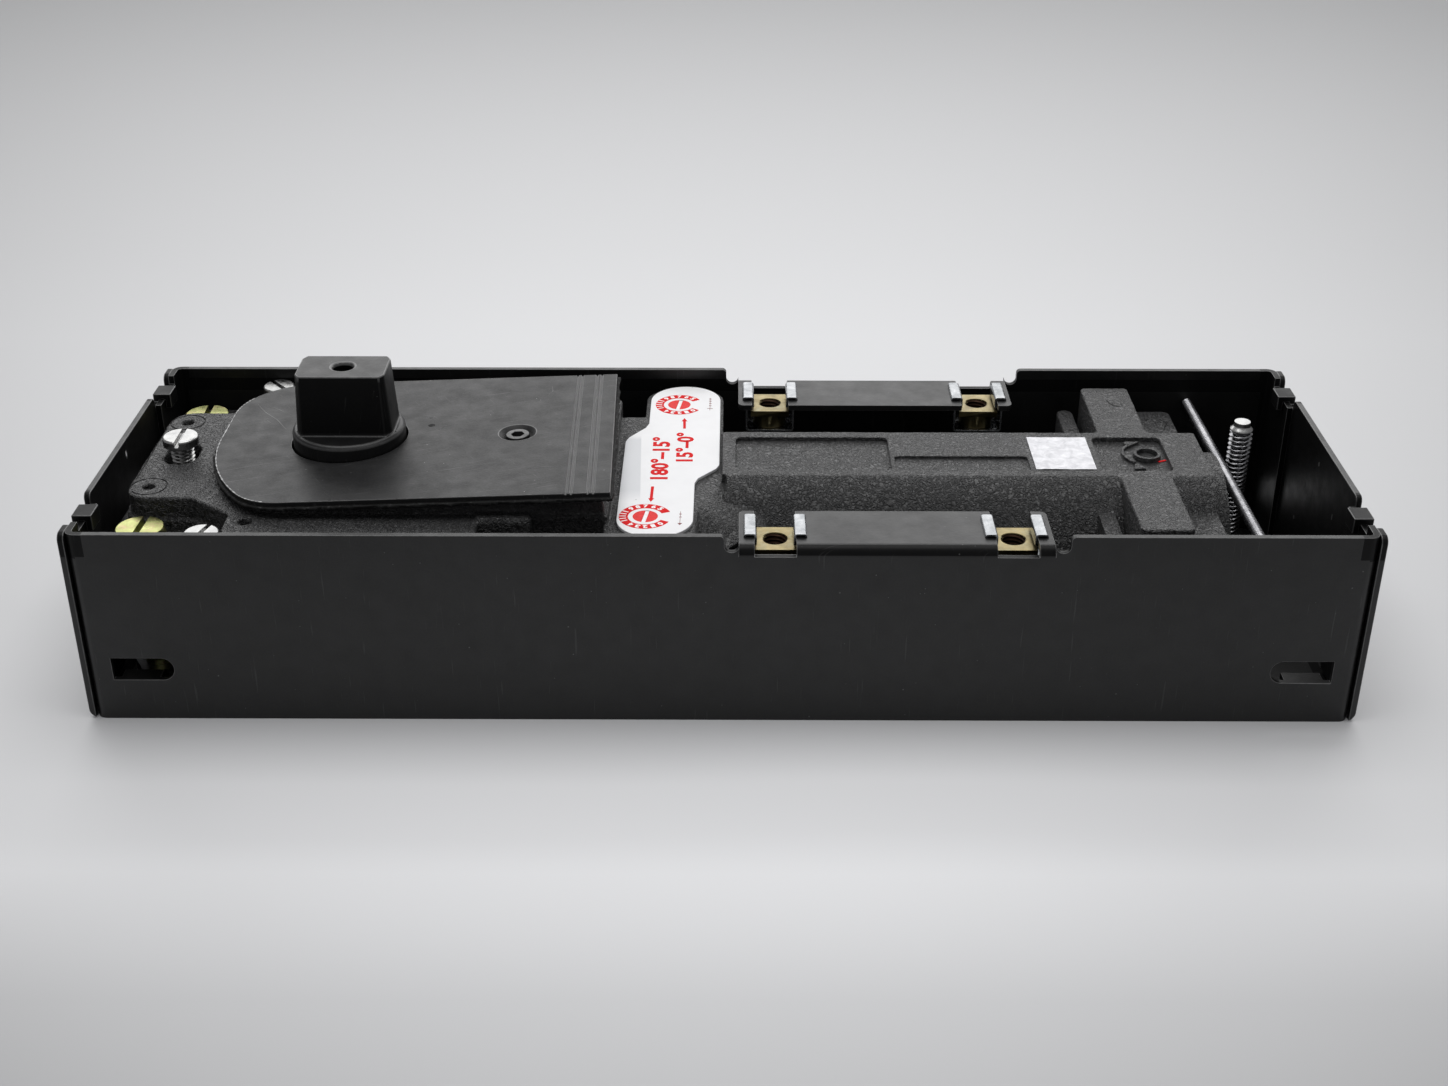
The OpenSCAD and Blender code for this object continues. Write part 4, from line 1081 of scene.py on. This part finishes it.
nut_places = screw_places("cage_nuts")
first = nut_places[0]
top_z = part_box("cage_nuts")[1][2] / MM
nut = one_solid("cage_nuts", first, "nut")
nut.data.materials.append(yellow_zinc)
# painted shade: the cutter's near-black brown passes to the bore's thread
bore = threaded_bar("bore", (first[0], first[1], top_z - 8.0), (first[0], first[1], top_z + 2.0), 2.95, 1.0, 0.42,
                    bore_brown, fade_mm=0.1)
carved(nut, bore)
copies = []
for i, place_mm in enumerate(nut_places):
    copy = new_object(f"nut_{i}", nut.data.copy())
    copy.data.transform(Matrix.Translation((Vector(place_mm) - Vector(first)) * MM))
    copies.append(copy)
bpy.data.objects.remove(nut)
nuts = smooth(joined("cage_nuts_threaded", *copies))
place(nuts, "case", "yellow_zinc", "cage_nuts")
report(nuts)

# %% Clips, bolts and the spindle block
clips = eased("cage_clips", "cage_clips_rolled", clip_zinc, 0.06, None)
place(clips, "case", "bright_zinc", "cage_clips")
bolts = eased("fixing_bolts", "fixing_bolts_turned", bolt_zinc, 0.15, None)
place(bolts, "case", "yellow_zinc", "fixing_bolts")
block = eased("spindle_insert", "spindle_block", block_paint, 0.35, block_edge)
place(block, "spindle", "case_paint", "spindle_insert")
heads = []
for node_name in ("closing_valve", "latch_valve"):
    valve = eased(node_name, node_name + "_lacquered", red_lacquer, 0.10, None)
    place(valve, node_name.replace("valve", "screw"), "red_head", node_name)
    heads.append(valve)
cover_bolt = eased("cover_screw", "cover_screw_black", dark_screw, 0.12, None)
place(cover_bolt, "case", "dark_screw", "cover_screw")
report(clips, bolts, block, *heads, cover_bolt)

# %% [markdown]
# ## Dial label
# The white label carries a red ring with digits round each valve, an arrow to it, and the range of door
# angles that it acts on: 180 to 15 degrees for closing, and 15 to 0 for the last push. Print has no
# thickness to speak of, so it is made as flat closed patches a few hundredths of a millimetre high. The
# numbers are generic, and Blender's own font is made a mesh before it is placed.

# %% Print helpers
def tube_part(bm, centre, inner, outer, low, high):
    """Adds a closed flat ring of rectangular section, in mm."""
    steps = 48
    rings = []
    for radius, z in ((inner, low), (outer, low), (outer, high), (inner, high)):
        circle = [(centre[0] + radius * math.cos(2 * math.pi * i / steps),
                   centre[1] + radius * math.sin(2 * math.pi * i / steps)) for i in range(steps)]
        rings.append([bm.verts.new((x * MM, y * MM, z * MM)) for x, y in circle])
    for a, b in zip(rings, rings[1:] + rings[:1]):
        for i in range(steps):
            j = (i + 1) % steps
            bm.faces.new((a[i], a[j], b[j], b[i]))


LABEL_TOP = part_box("adjuster_label")[1][2] / MM
INK = 0.03  # how high the print stands, in mm


def slab(bm, outline, low, high):
    """Adds a closed flat prism with this outline in mm, turning counterclockwise."""
    rings = [[bm.verts.new((x * MM, y * MM, z * MM)) for x, y in outline] for z in (low, high)]
    bm.faces.new(list(reversed(rings[0])))
    bm.faces.new(rings[1])
    for i in range(len(outline)):
        j = (i + 1) % len(outline)
        bm.faces.new((rings[0][i], rings[0][j], rings[1][j], rings[1][i]))


def arc_points(centre, radius, start, end, steps):
    """Points along an arc, from a start angle to an end angle in degrees."""
    return [(centre[0] + radius * math.cos(math.radians(start + (end - start) * i / steps)),
             centre[1] + radius * math.sin(math.radians(start + (end - start) * i / steps)))
            for i in range(steps + 1)]


def ring_part(bm, centre, inner, outer, start, end, low, high):
    """Adds a piece of a flat ring, made of short sectors so that each face is convex."""
    steps = max(1, int(abs(end - start) / 8))
    outline = arc_points(centre, outer, start, end, steps) + arc_points(centre, inner, end, start, steps)
    slab(bm, outline, low, high)


def line_part(bm, start, end, width, low, high):
    """Adds a straight bar from start to end, all in mm."""
    a, b = Vector(start), Vector(end)
    side = Vector((-(b - a).y, (b - a).x)).normalized() * width / 2
    slab(bm, [tuple(p) for p in (a - side, b - side, b + side, a + side)], low, high)


def arrow_part(bm, tail, tip, width, head, low, high, wide=0.55):
    """Adds an arrow: a bar and a triangular head, whose half width is wide times its length."""
    a, b = Vector(tail), Vector(tip)
    way = (b - a).normalized()
    side = Vector((-way.y, way.x))
    neck = b - way * head
    line_part(bm, a, neck, width, low, high)
    slab(bm, [tuple(p) for p in (neck - side * head * wide, b, neck + side * head * wide)], low, high)


print("label top at", round(LABEL_TOP, 2), "mm, ink", INK, "mm")

# %% Numbers as meshes
def numbers(text, centre, size, turn, low, material, bold=0.036):
    """A text of plain numbers as a flat closed mesh, size = (width, height) in mm, its up turned by degrees."""
    curve = bpy.data.curves.new("numbers", "FONT")
    curve.body = text
    curve.size = 1.0
    curve.extrude = 0.05
    curve.offset = bold
    curve.resolution_u = 3
    written = new_object("written", curve)
    graph = bpy.context.evaluated_depsgraph_get()
    mesh = bpy.data.meshes.new_from_object(written.evaluated_get(graph))
    bpy.data.objects.remove(written)
    bm = bmesh.new()
    bm.from_mesh(mesh)
    bmesh.ops.remove_doubles(bm, verts=bm.verts, dist=1e-5)
    low_corner = Vector([min(v.co[i] for v in bm.verts) for i in range(3)])
    high_corner = Vector([max(v.co[i] for v in bm.verts) for i in range(3)])
    span = high_corner - low_corner
    fit = Matrix.Diagonal((size[0] * MM / span.x, size[1] * MM / span.y, INK * MM / span.z, 1.0))
    fit = fit @ Matrix.Translation(-(low_corner + high_corner) / 2)
    fit = Matrix.Rotation(math.radians(turn), 4, "Z") @ fit
    bm.transform(Matrix.Translation(Vector((centre[0], centre[1], low + INK / 2)) * MM) @ fit)
    obj = mesh_object("written", bm)
    obj.data.materials.append(material)
    return obj


print("numbers can be written")

# %% Dials
CLOSING = (-11.8, 32.0)
LATCH = (-18.2, -32.4)
DIAL_RING = (4.15, 6.3)    # inner and outer radius in mm
DIAL_COLLAR = (3.02, 4.05)
DIAL_TICKS = (4.6, 6.2)
DIGIT_RADIUS = 5.25
DIGIT_SIZE = (1.10, 1.55)


def spot_at(centre, radius, degrees):
    """A place on a circle, in mm."""
    return Vector(centre) + Vector((math.cos(math.radians(degrees)), math.sin(math.radians(degrees)))) * radius


def dial(name, centre, openings, digits):
    """The red ring round a valve head, with white digits and ticks; openings is the gap's two angles."""
    bm = bmesh.new()
    ring_part(bm, centre, *DIAL_RING, *openings, LABEL_TOP - 0.05, LABEL_TOP + INK)
    ring = mesh_object(name, bm)
    ring.data.materials.append(red_ink)
    marks = bmesh.new()
    low = LABEL_TOP + INK - 0.01
    for angle in range(153, 215, 13):
        start, end = (tuple(spot_at(centre, radius, angle)) for radius in DIAL_TICKS)
        line_part(marks, start, end, 0.36, low, low + INK)
    ticks = mesh_object(name + "_ticks", marks)
    ticks.data.materials.append(pale_ink)
    collar = bmesh.new()
    tube_part(collar, centre, *DIAL_COLLAR, LABEL_TOP - 0.02, LABEL_TOP + INK / 2)
    collar = mesh_object(name + "_collar", collar)
    collar.data.materials.append(label_white)
    parts = [ring, ticks, collar]
    for digit, angle in digits:
        spot = spot_at(centre, DIGIT_RADIUS, angle)
        parts.append(numbers(digit, spot, DIGIT_SIZE, angle - 90, low, pale_ink, 0.05))
    obj = joined(name, *parts)
    return place(obj, "case", "label")


DIGITS = [("9", 132), ("8", 112), ("7", 91), ("6", 69), ("5", 48), ("4", 232), ("3", 252), ("2", 272), ("1", 293),
          ("0", 315)]
closing_dial = dial("closing_dial", CLOSING, (31, 327), DIGITS)
latch_dial = dial("latch_dial", LATCH, (22, 334), DIGITS)
report(closing_dial, latch_dial)

# %% [markdown]
# ## Slots of the valve heads
# A screwdriver has rubbed the lacquer out of both slots, so each shows bright metal. A face of the head could
# take another material, but the slot is a solid bar here, which rides on the valve and turns with it.

# %% Bright slots
SLOT_ANGLE = 82
SLOT_HALF_LENGTH = 2.95
for name, middle, body_name in (("closing_slot", CLOSING, "closing_screw"), ("latch_slot", LATCH, "latch_screw")):
    bm = bmesh.new()
    ends = (spot_at(middle, reach, SLOT_ANGLE) for reach in (-SLOT_HALF_LENGTH, SLOT_HALF_LENGTH))
    line_part(bm, *ends, 0.9, LABEL_TOP - 1.05, LABEL_TOP - 0.12)
    metal = mesh_object(name, bm)
    metal.data.materials.append(pale_ink)
    place(metal, body_name, "red_head")
    report(metal)

# %% Numbers and arrows
red = bmesh.new()
arrow_part(red, (-10.06, 16.9), (-10.2, 23.4), 0.70, 2.0, LABEL_TOP - 0.05, LABEL_TOP + INK, 0.38)
arrow_part(red, (-17.06, -16.65), (-17.18, -24.9), 0.72, 1.9, LABEL_TOP - 0.05, LABEL_TOP + INK, 0.38)
arrows = mesh_object("dial_arrows", red)
arrows.data.materials.append(red_ink)
close_range = numbers("180°–15°", (-15.8, -0.5), (24.3, 4.7), 90, LABEL_TOP, red_ink)
latch_range = numbers("15°–0°", (-9.75, 5.9), (17.0, 4.6), 90, LABEL_TOP, red_ink)
ranges = place(joined("dial_ranges", arrows, close_range, latch_range), "case", "label")
fine = bmesh.new()
line_part(fine, (-3.55, 36.4), (-3.60, 28.4), 0.12, LABEL_TOP - 0.05, LABEL_TOP + INK)
line_part(fine, (-4.3, 29.6), (-2.8, 29.5), 0.22, LABEL_TOP - 0.05, LABEL_TOP + INK * 0.8)
for y in (35.8, 34.4, 32.9, 31.4):
    line_part(fine, (-3.85, y), (-3.2, y - 0.1), 0.3, LABEL_TOP - 0.05, LABEL_TOP + INK * 0.8)
arrow_part(fine, (-9.86, -29.9), (-9.9, -36.8), 0.12, 1.0, LABEL_TOP - 0.05, LABEL_TOP + INK)
for y in (-31.2, -32.7):
    line_part(fine, (-10.15, y), (-9.55, y), 0.3, LABEL_TOP - 0.05, LABEL_TOP + INK * 0.8)
fine_marks = mesh_object("dial_fine_marks", fine)
fine_marks.data.materials.append(grey_ink)
place(fine_marks, "case", "label")
report(ranges, fine_marks)

# %% [markdown]
# ## Label plate, foil sticker and gasket
# The label plate only needs its edge eased. The foil is pressed over a rough casting, so it is a fine grid
# whose top follows noise, closed underneath. The gasket was cut by hand: its copy is remeshed and its rim is
# pushed in and out, so that it peeps unevenly from under the cover.

# %% Label plate
plate = eased("adjuster_label", "dial_label", label_white, 0.12, None)
place(plate, "case", "label", "adjuster_label")
report(plate)

# %% Foil sticker
def foil_rule():
    """A creased sheet with a flat underside."""
    rule = Rule("foil", Crease="Float", Finish="Material")
    point = rule.add("GeometryNodeInputPosition").outputs["Position"]
    facing = rule.add("ShaderNodeSeparateXYZ", {0: rule.add("GeometryNodeInputNormal").outputs[0]}).outputs["Z"]
    links = {"Vector": point, "Scale": 260.0, "Detail": 3.0, "Distortion": 0.8}
    folds = rule.add("ShaderNodeTexNoise", links).outputs[0]
    lift = rule.math("MULTIPLY", rule.math("SUBTRACT", folds, 0.42), rule.given("Crease"))
    lift = rule.math("MULTIPLY", lift, rule.span(facing, 0.3, 0.5))
    shift = rule.add("ShaderNodeCombineXYZ", {2: lift}).outputs[0]
    moved = rule.add("GeometryNodeSetPosition", {"Geometry": rule.given("Geometry"), "Offset": shift})
    real = rule.add("GeometryNodeRealizeInstances", {"Geometry": moved.outputs[0]})
    done = rule.add("GeometryNodeSetMaterial", {"Geometry": real.outputs[0], "Material": rule.given("Finish")})
    return rule.finish(done.outputs[0])


def foil_sheet(name, low, high, steps):
    """A fine grid over a box's top, closed with sides and a plain underside."""
    bm = bmesh.new()
    grids = [[[bm.verts.new((low[0] + (high[0] - low[0]) * i / steps, low[1] + (high[1] - low[1]) * j / steps, z))
               for j in range(steps + 1)] for i in range(steps + 1)] for z in (low[2], high[2])]
    for grid, flip in zip(grids, (True, False)):
        for i in range(steps):
            for j in range(steps):
                corners = [grid[i][j], grid[i + 1][j], grid[i + 1][j + 1], grid[i][j + 1]]
                bm.faces.new(list(reversed(corners)) if flip else corners)
    rim = [(i, 0) for i in range(steps)] + [(steps, j) for j in range(steps)]
    rim += [(i, steps) for i in range(steps, 0, -1)] + [(0, j) for j in range(steps, 0, -1)]
    for (a, b), (c, d) in zip(rim, rim[1:] + rim[:1]):
        bm.faces.new((grids[0][a][b], grids[0][c][d], grids[1][c][d], grids[1][a][b]))
    obj = mesh_object(name, bm)
    run_rule(obj, foil_rule(), Crease=0.00042, Finish=foil)
    return smooth(settled(obj), 60)


sticker = foil_sheet("foil_sticker_creased", *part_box("foil_sticker"), 56)
place(sticker, "case", "foil", "foil_sticker")
report(sticker)

# %% Gasket
def torn_rule():
    """Pushes the rim of a flat gasket in and out."""
    rule = Rule("torn", Depth="Float", Finish="Material")
    point = rule.add("GeometryNodeInputPosition").outputs["Position"]
    normal = rule.add("GeometryNodeInputNormal").outputs["Normal"]
    rips = rule.add("ShaderNodeTexNoise", {"Vector": point, "Scale": 420.0, "Detail": 3.0}).outputs[0]
    push = rule.math("MULTIPLY", rule.math("SUBTRACT", rips, 0.5), rule.given("Depth"))
    shift = rule.add("ShaderNodeVectorMath", {0: normal, "Scale": push}, operation="SCALE").outputs[0]
    flat = rule.add("ShaderNodeVectorMath", {0: shift, 1: (1.0, 1.0, 0.25)}, operation="MULTIPLY").outputs[0]
    moved = rule.add("GeometryNodeSetPosition", {"Geometry": rule.given("Geometry"), "Offset": flat})
    real = rule.add("GeometryNodeRealizeInstances", {"Geometry": moved.outputs[0]})
    done = rule.add("GeometryNodeSetMaterial", {"Geometry": real.outputs[0], "Material": rule.given("Finish")})
    return rule.finish(done.outputs[0])


gasket = mesh_object("cover_gasket_torn", merged("cover_gasket"))
remesh = gasket.modifiers.new("voxels", "REMESH")
remesh.mode = "VOXEL"
remesh.voxel_size = 0.30 * MM
run_rule(gasket, torn_rule(), Depth=0.0016, Finish=rubber)
settled(gasket)
thin = gasket.modifiers.new("thin", "DECIMATE")
thin.ratio = min(1.0, 40000 / triangles(gasket))
settled(gasket)
gasket.data.shade_smooth()
place(gasket, "case", "rubber", "cover_gasket")
report(gasket)

# %% [markdown]
# ## Cast details
# The end recess has a raised ring with a curved arrow beside it, which shows the way the closer turns. The
# holes in the rear steps are closed by a skin of sand that the casting kept. A ring groove runs round each of
# the two holes at the spindle end. Such details are small solids of their own, set a little into the casting,
# and the grooves are cut by a Boolean.

# %% Grooves and recesses
def corner_box(bm, x0, x1, y0, y1, radius, low, high):
    """Adds a closed block with rounded corners, in mm."""
    outline = []
    for x, y, start in ((x1 - radius, y1 - radius, 0), (x0 + radius, y1 - radius, 90),
                        (x0 + radius, y0 + radius, 180), (x1 - radius, y0 + radius, 270)):
        outline += arc_points((x, y), radius, start, start + 90, 6)
    slab(bm, outline, low, high)


LUG_HOLE = (-140.0, 18.6)
LUG_TOP = 47.5
LAND_TOP = 48.0
cutter = bmesh.new()
for side in (1, -1):
    tube_part(cutter, (LUG_HOLE[0], LUG_HOLE[1] * side), 4.15, 4.60, LUG_TOP - 0.35, LUG_TOP + 1)
line_part(cutter, (-144.5, 14.8), (-144.1, -14.8), 0.40, LUG_TOP - 0.30, LUG_TOP + 1)
for x0, x1, y0, y1, radius, depth in ((3.35, 42.05, -9.35, 9.35, 1.5, 0.9), (43.15, 76.55, -9.65, -1.55, 1.0, 0.6),
                                      (94.55, 111.85, -9.65, 9.65, 1.5, 1.2)):
    corner_box(cutter, x0, x1, y0, y1, radius, LAND_TOP - depth - 0.10, LAND_TOP + 1)
cutter = mesh_object("groove_cutter", cutter)
cutter.data.materials.append(casting)
carved(body, cutter, "MANIFOLD")
smooth(body, 48)
report(body)

# %% Cast relief
relief = bmesh.new()
tube_part(relief, (107.1, 0.55), 2.60, 3.45, 46.4, 47.95)
ring_part(relief, (107.6, 1.6), 6.0, 6.75, 128, 232, 46.4, 47.5)
slab(relief, [(103.3, 5.6), (106.6, 8.3), (103.0, 8.4), (102.4, 7.4)], 46.4, 47.5)
slab(relief, [(103.2, -4.4), (104.1, -4.0), (105.6, -7.0), (102.6, -7.4)], 46.4, 47.4)
cast_ring = mesh_object("cast_ring", relief)
cast_ring.data.materials.append(casting)
soften(cast_ring, 0.18)
smooth(cast_ring, 50)
place(cast_ring, "case", "casting")

plugs = bmesh.new()
for side in (1, -1):
    slab(plugs, arc_points((115.5, 31.0 * side), 3.7, 0, 345, 23), 40.2, 41.42)
cast_skin = mesh_object("cast_sand_skin", plugs)
cast_skin.data.materials.append(casting)
place(cast_skin, "case", "casting")
report(cast_ring, cast_skin)


def dark_marks(name, strokes, material):
    """Thin strokes on the castings: each is (points in mm, width, height)."""
    bm = bmesh.new()
    for points, width, z in strokes:
        for a, b in zip(points, points[1:]):
            line_part(bm, a, b, width, z - 0.4, z + 0.035)
    obj = mesh_object(name, bm)
    obj.data.materials.append(material)
    return place(obj, "case", "casting")


CRACKS = [
    ([(117.85, 34.9), (119.2, 32.6), (119.5, 30.4)], 0.35, 41.5),
    ([(119.2, 32.4), (118.2, 30.0), (117.5, 27.9)], 0.30, 41.5),
    ([(113.6, 34.9), (114.5, 34.6)], 0.9, 41.5),
    ([(102.5, 32.7), (102.9, 30.8), (103.6, 29.5), (104.6, 29.0), (105.4, 29.2)], 0.42, 48.0),
    ([(105.9, 29.6), (106.0, 31.0)], 0.25, 48.0), ([(106.3, 22.9), (106.6, 22.7)], 0.3, 48.0),
    ([(102.1, 19.2), (102.4, 19.0)], 0.35, 48.0),
]
cracks = dark_marks("cast_cracks", CRACKS, rubber)
paint_dab = dark_marks("paint_dab", [([(109.6, -2.2), (110.8, -1.7), (111.6, -1.3)], 0.55, 46.85)], red_ink)
report(cracks, paint_dab)

# %% [markdown]
# ## Marks of use
# Handling leaves light scratches in the cover's paint and specks on the end plates. They are drawn as hairlines
# a few hundredths of a millimetre thick, because a scratch has a place and a shape that noise can't give.

# %% Scratches
SLOPE = math.radians(2.15)
SPINDLE_X = -93.7
COVER_Z = 51.95
HAIR = 0.03  # how high a mark stands, in mm


def on_cover(u, v, lift=0.0):
    """A place on the sloped cover in mm: u along it from the spindle axis, v across."""
    return (SPINDLE_X + u * math.cos(SLOPE) - lift * math.sin(SLOPE), v,
            COVER_Z + u * math.sin(SLOPE) + lift * math.cos(SLOPE))


def hairline(bm, points, width):
    """Adds a thin closed strip along points (u, v) of the cover, tapered at both ends."""
    rails = []
    last = len(points) - 1
    for i, point in enumerate(points):
        before, after = Vector(points[max(i - 1, 0)]), Vector(points[min(i + 1, last)])
        way = (after - before).normalized()
        side = Vector((-way.y, way.x)) * width / 2 * (0.25 if i in (0, last) else 1.0)
        corners = [(Vector(point) - side, -0.05), (Vector(point) + side, -0.05),
                   (Vector(point) + side, HAIR), (Vector(point) - side, HAIR)]
        rails.append([bm.verts.new(Vector(on_cover(p.x, p.y, lift)) * MM) for p, lift in corners])
    for a, b in zip(rails, rails[1:]):
        for i in range(4):
            j = (i + 1) % 4
            bm.faces.new((a[i], a[j], b[j], b[i]))
    bm.faces.new(list(reversed(rails[0])))
    bm.faces.new(rails[-1])


SCRATCHES = [
    ([(-28.5, 22.5), (-25.1, 17.0), (-21.2, 12.4), (-17.6, 6.3)], 0.15),
    ([(-24.9, 20.8), (-21.8, 18.5), (-18.0, 14.7)], 0.13),
    ([(-24.2, 12.7), (-22.4, 10.4), (-20.4, 8.6)], 0.10),
    ([(22.0, 4.0), (23.5, 5.4), (26.5, 6.1)], 0.12),
    ([(48.0, 22.5), (49.0, 25.0), (48.6, 28.0)], 0.10),
    ([(46.5, -21.0), (51.0, -20.2), (54.0, -20.6)], 0.10),
]
scratch_mesh = bmesh.new()
for points, width in SCRATCHES:
    hairline(scratch_mesh, points, width)
scratches = mesh_object("cover_scratches", scratch_mesh)
scratches.data.materials.append(edge_paint)
place(scratches, "case", "case_paint")
report(scratches)

# %% [markdown]
# ## Worn rim with a painted highlight
# The cover's round nose has lost some paint along its top edge, and it catches the light there: the light line,
# which comes and goes, is partly that wear and partly a painted highlight. A bevel's material would give an even
# line, so short hairlines follow the outline, each with a width of its own.

# %% Cover outline
def cover_outline(inset_mm):
    """The cover's outline as (u, v) in mm, from its CAD copy: it bulges everywhere, so a hull finds it."""
    spots = set()
    for vert in nodes["cover_plate"].data.vertices:
        x, y, z = vert.co / MM
        u = (x - SPINDLE_X) * math.cos(SLOPE) + (z - COVER_Z) * math.sin(SLOPE)
        spots.add((round(u, 3), round(y, 3)))
    hull = []
    for order in (sorted(spots), sorted(spots, reverse=True)):
        chain = []
        for u, v in order:
            while len(chain) > 1 and ((chain[-1][0] - chain[-2][0]) * (v - chain[-2][1])
                                      - (chain[-1][1] - chain[-2][1]) * (u - chain[-2][0])) <= 0:
                chain.pop()
            chain.append((u, v))
        hull += chain[:-1]
    inner = []
    for before, spot, after in zip(hull[-1:] + hull[:-1], hull, hull[1:] + hull[:1]):
        way = (Vector(after) - Vector(before)).normalized()
        inner.append((spot[0] - way.y * inset_mm, spot[1] + way.x * inset_mm))
    return inner


outline = cover_outline(0.16)
print("cover outline:", len(outline), "points")

# %% Rim and edge strips
def worn_and_highlit_strip(bm, path, wide_mm):
    """Adds hairlines along a path, with a width that comes and goes."""
    for i, (a, b) in enumerate(zip(path, path[1:])):
        steps = max(1, int((Vector(b) - Vector(a)).length / 2.5))
        for k in range(steps):
            ends = [tuple(Vector(a).lerp(Vector(b), (k + share) / steps)) for share in (0.0, 0.5, 1.0)]
            worn = 0.5 + 0.5 * math.sin(i * 2.3 + k * 1.7) * math.cos(i * 0.9 + k * 2.9)
            hairline(bm, ends, wide_mm * (0.35 + 0.65 * worn))


NOSE_U = -14.0  # where the round nose meets the straight sides
nose = [spot for spot in outline if spot[0] < NOSE_U and spot[1] < 27.5]
front = [spot for spot in outline if spot[0] >= NOSE_U and spot[1] < 0.0]
tail = [spot for spot in outline if spot[0] > 60.0]
nose.sort(key=lambda spot: math.atan2(spot[1], spot[0] - NOSE_U) % (2 * math.pi))
# the rim and edge lines are partly worn paint and partly a painted highlight
rim = bmesh.new()
worn_and_highlit_strip(rim, nose, 0.46)
rim = mesh_object("cover_rim_worn", rim)
rim.data.materials.append(rim_paint)
place(rim, "case", "case_paint")
edge_strip = bmesh.new()
worn_and_highlit_strip(edge_strip, [nose[-1]] + sorted(front), 0.17)
worn_and_highlit_strip(edge_strip, sorted(tail, key=lambda spot: spot[1]), 0.20)
edge_strip = mesh_object("cover_edge_worn", edge_strip)
edge_strip.data.materials.append(edge_paint)
place(edge_strip, "case", "case_paint")
report(rim, edge_strip)

# %% Dents and chips
def dent(name, spots, body_name, slot, material):
    """Small flat marks: each is (middle, half width, half height, axis it faces), in mm."""
    bm = bmesh.new()
    for middle, wide, high, axis in spots:
        corners = []
        for i in range(12):
            a, b = wide * math.cos(i * math.pi / 6), high * math.sin(i * math.pi / 6)
            step = Vector((0, a, b)) if axis == "X" else Vector((a, b, 0))
            corners.append(Vector(middle) + step)
        thick = Vector((HAIR, 0, 0)) if axis == "X" else Vector((0, 0, HAIR))
        rings = [[bm.verts.new((c + thick * k) * MM) for c in corners] for k in (-1, 1)]
        bm.faces.new(list(reversed(rings[0])))
        bm.faces.new(rings[1])
        for i in range(12):
            j = (i + 1) % 12
            bm.faces.new((rings[0][i], rings[0][j], rings[1][j], rings[1][i]))
    obj = mesh_object(name, bm)
    obj.data.materials.append(material)
    return place(obj, body_name, slot)


# painted shade: a flat black disc stands for the shade inside a small pit in the cover
pit = on_cover(19.8, 5.9)
cover_pit = dent("cover_pit", [(pit, 0.95, 0.80, "Z")], "case", "case_paint", rubber)
old_pit = on_cover(18.9, 11.0)
filled = dent("cover_filler", [(old_pit, 0.72, 0.72, "Z")], "case", "case_paint", cover_paint)
plate_dents = dent("end_plate_dents", [
    ((-151.2, 0.9, 46.7), 0.75, 1.3, "X"), ((151.2, 13.9, 22.8), 0.5, 0.5, "X"),
    ((151.2, -14.1, 37.5), 0.35, 0.9, "X"), ((151.2, 1.35, 44.5), 0.6, 0.6, "X")],
    "case", "case_paint", edge_paint)
plate_chips = dent("end_plate_chips", [((-151.15, 0.7, 46.9), 0.3, 0.75, "X")], "case", "case_paint", pale_ink)
report(cover_pit, filled, plate_dents, plate_chips)

# %% [markdown]
# ## Closing spring
# The piston slides towards the end plug and squeezes the spring. A rigid piece can't get shorter, so the real
# spring would be a simulation or a driven coil. A squash along its own axis towards the end plug would do the same
# for a helix: every turn comes nearer to the next one by the same share. Here the coil gets its own mesh, and its
# length at rest is worked out up to the end plug.

# %% Closing spring
SPRING_END = 108.0 * MM
spring = mesh_object("spring_coil", merged("closing_spring"))
spring.data.materials.append(SLOT_FINISH["steel"])
smooth(spring, 50)
place(spring, "case", "steel", "closing_spring")
spring_length = SPRING_END - places(spring.data)[:, 0].min()
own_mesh(spring)
report(spring)
print(f"spring: {spring_length / MM:.2f} mm long at rest")

# %% [markdown]
# ## Pieces that stay as CAD made them
# What is left is hidden inside the body or simple enough: bearings, seals, the cam drive, plugs and washers.
# Each takes the finish of its slot in the record, and its mesh stays as it is.

# %% Finishes of the other nodes
for part in frame["record"]["subparts"]:
    node = nodes[part["node"]]
    node.data.materials.clear()
    node.data.materials.append(SLOT_FINISH[part["material_slot"]])

# %% End
print("end of scene")
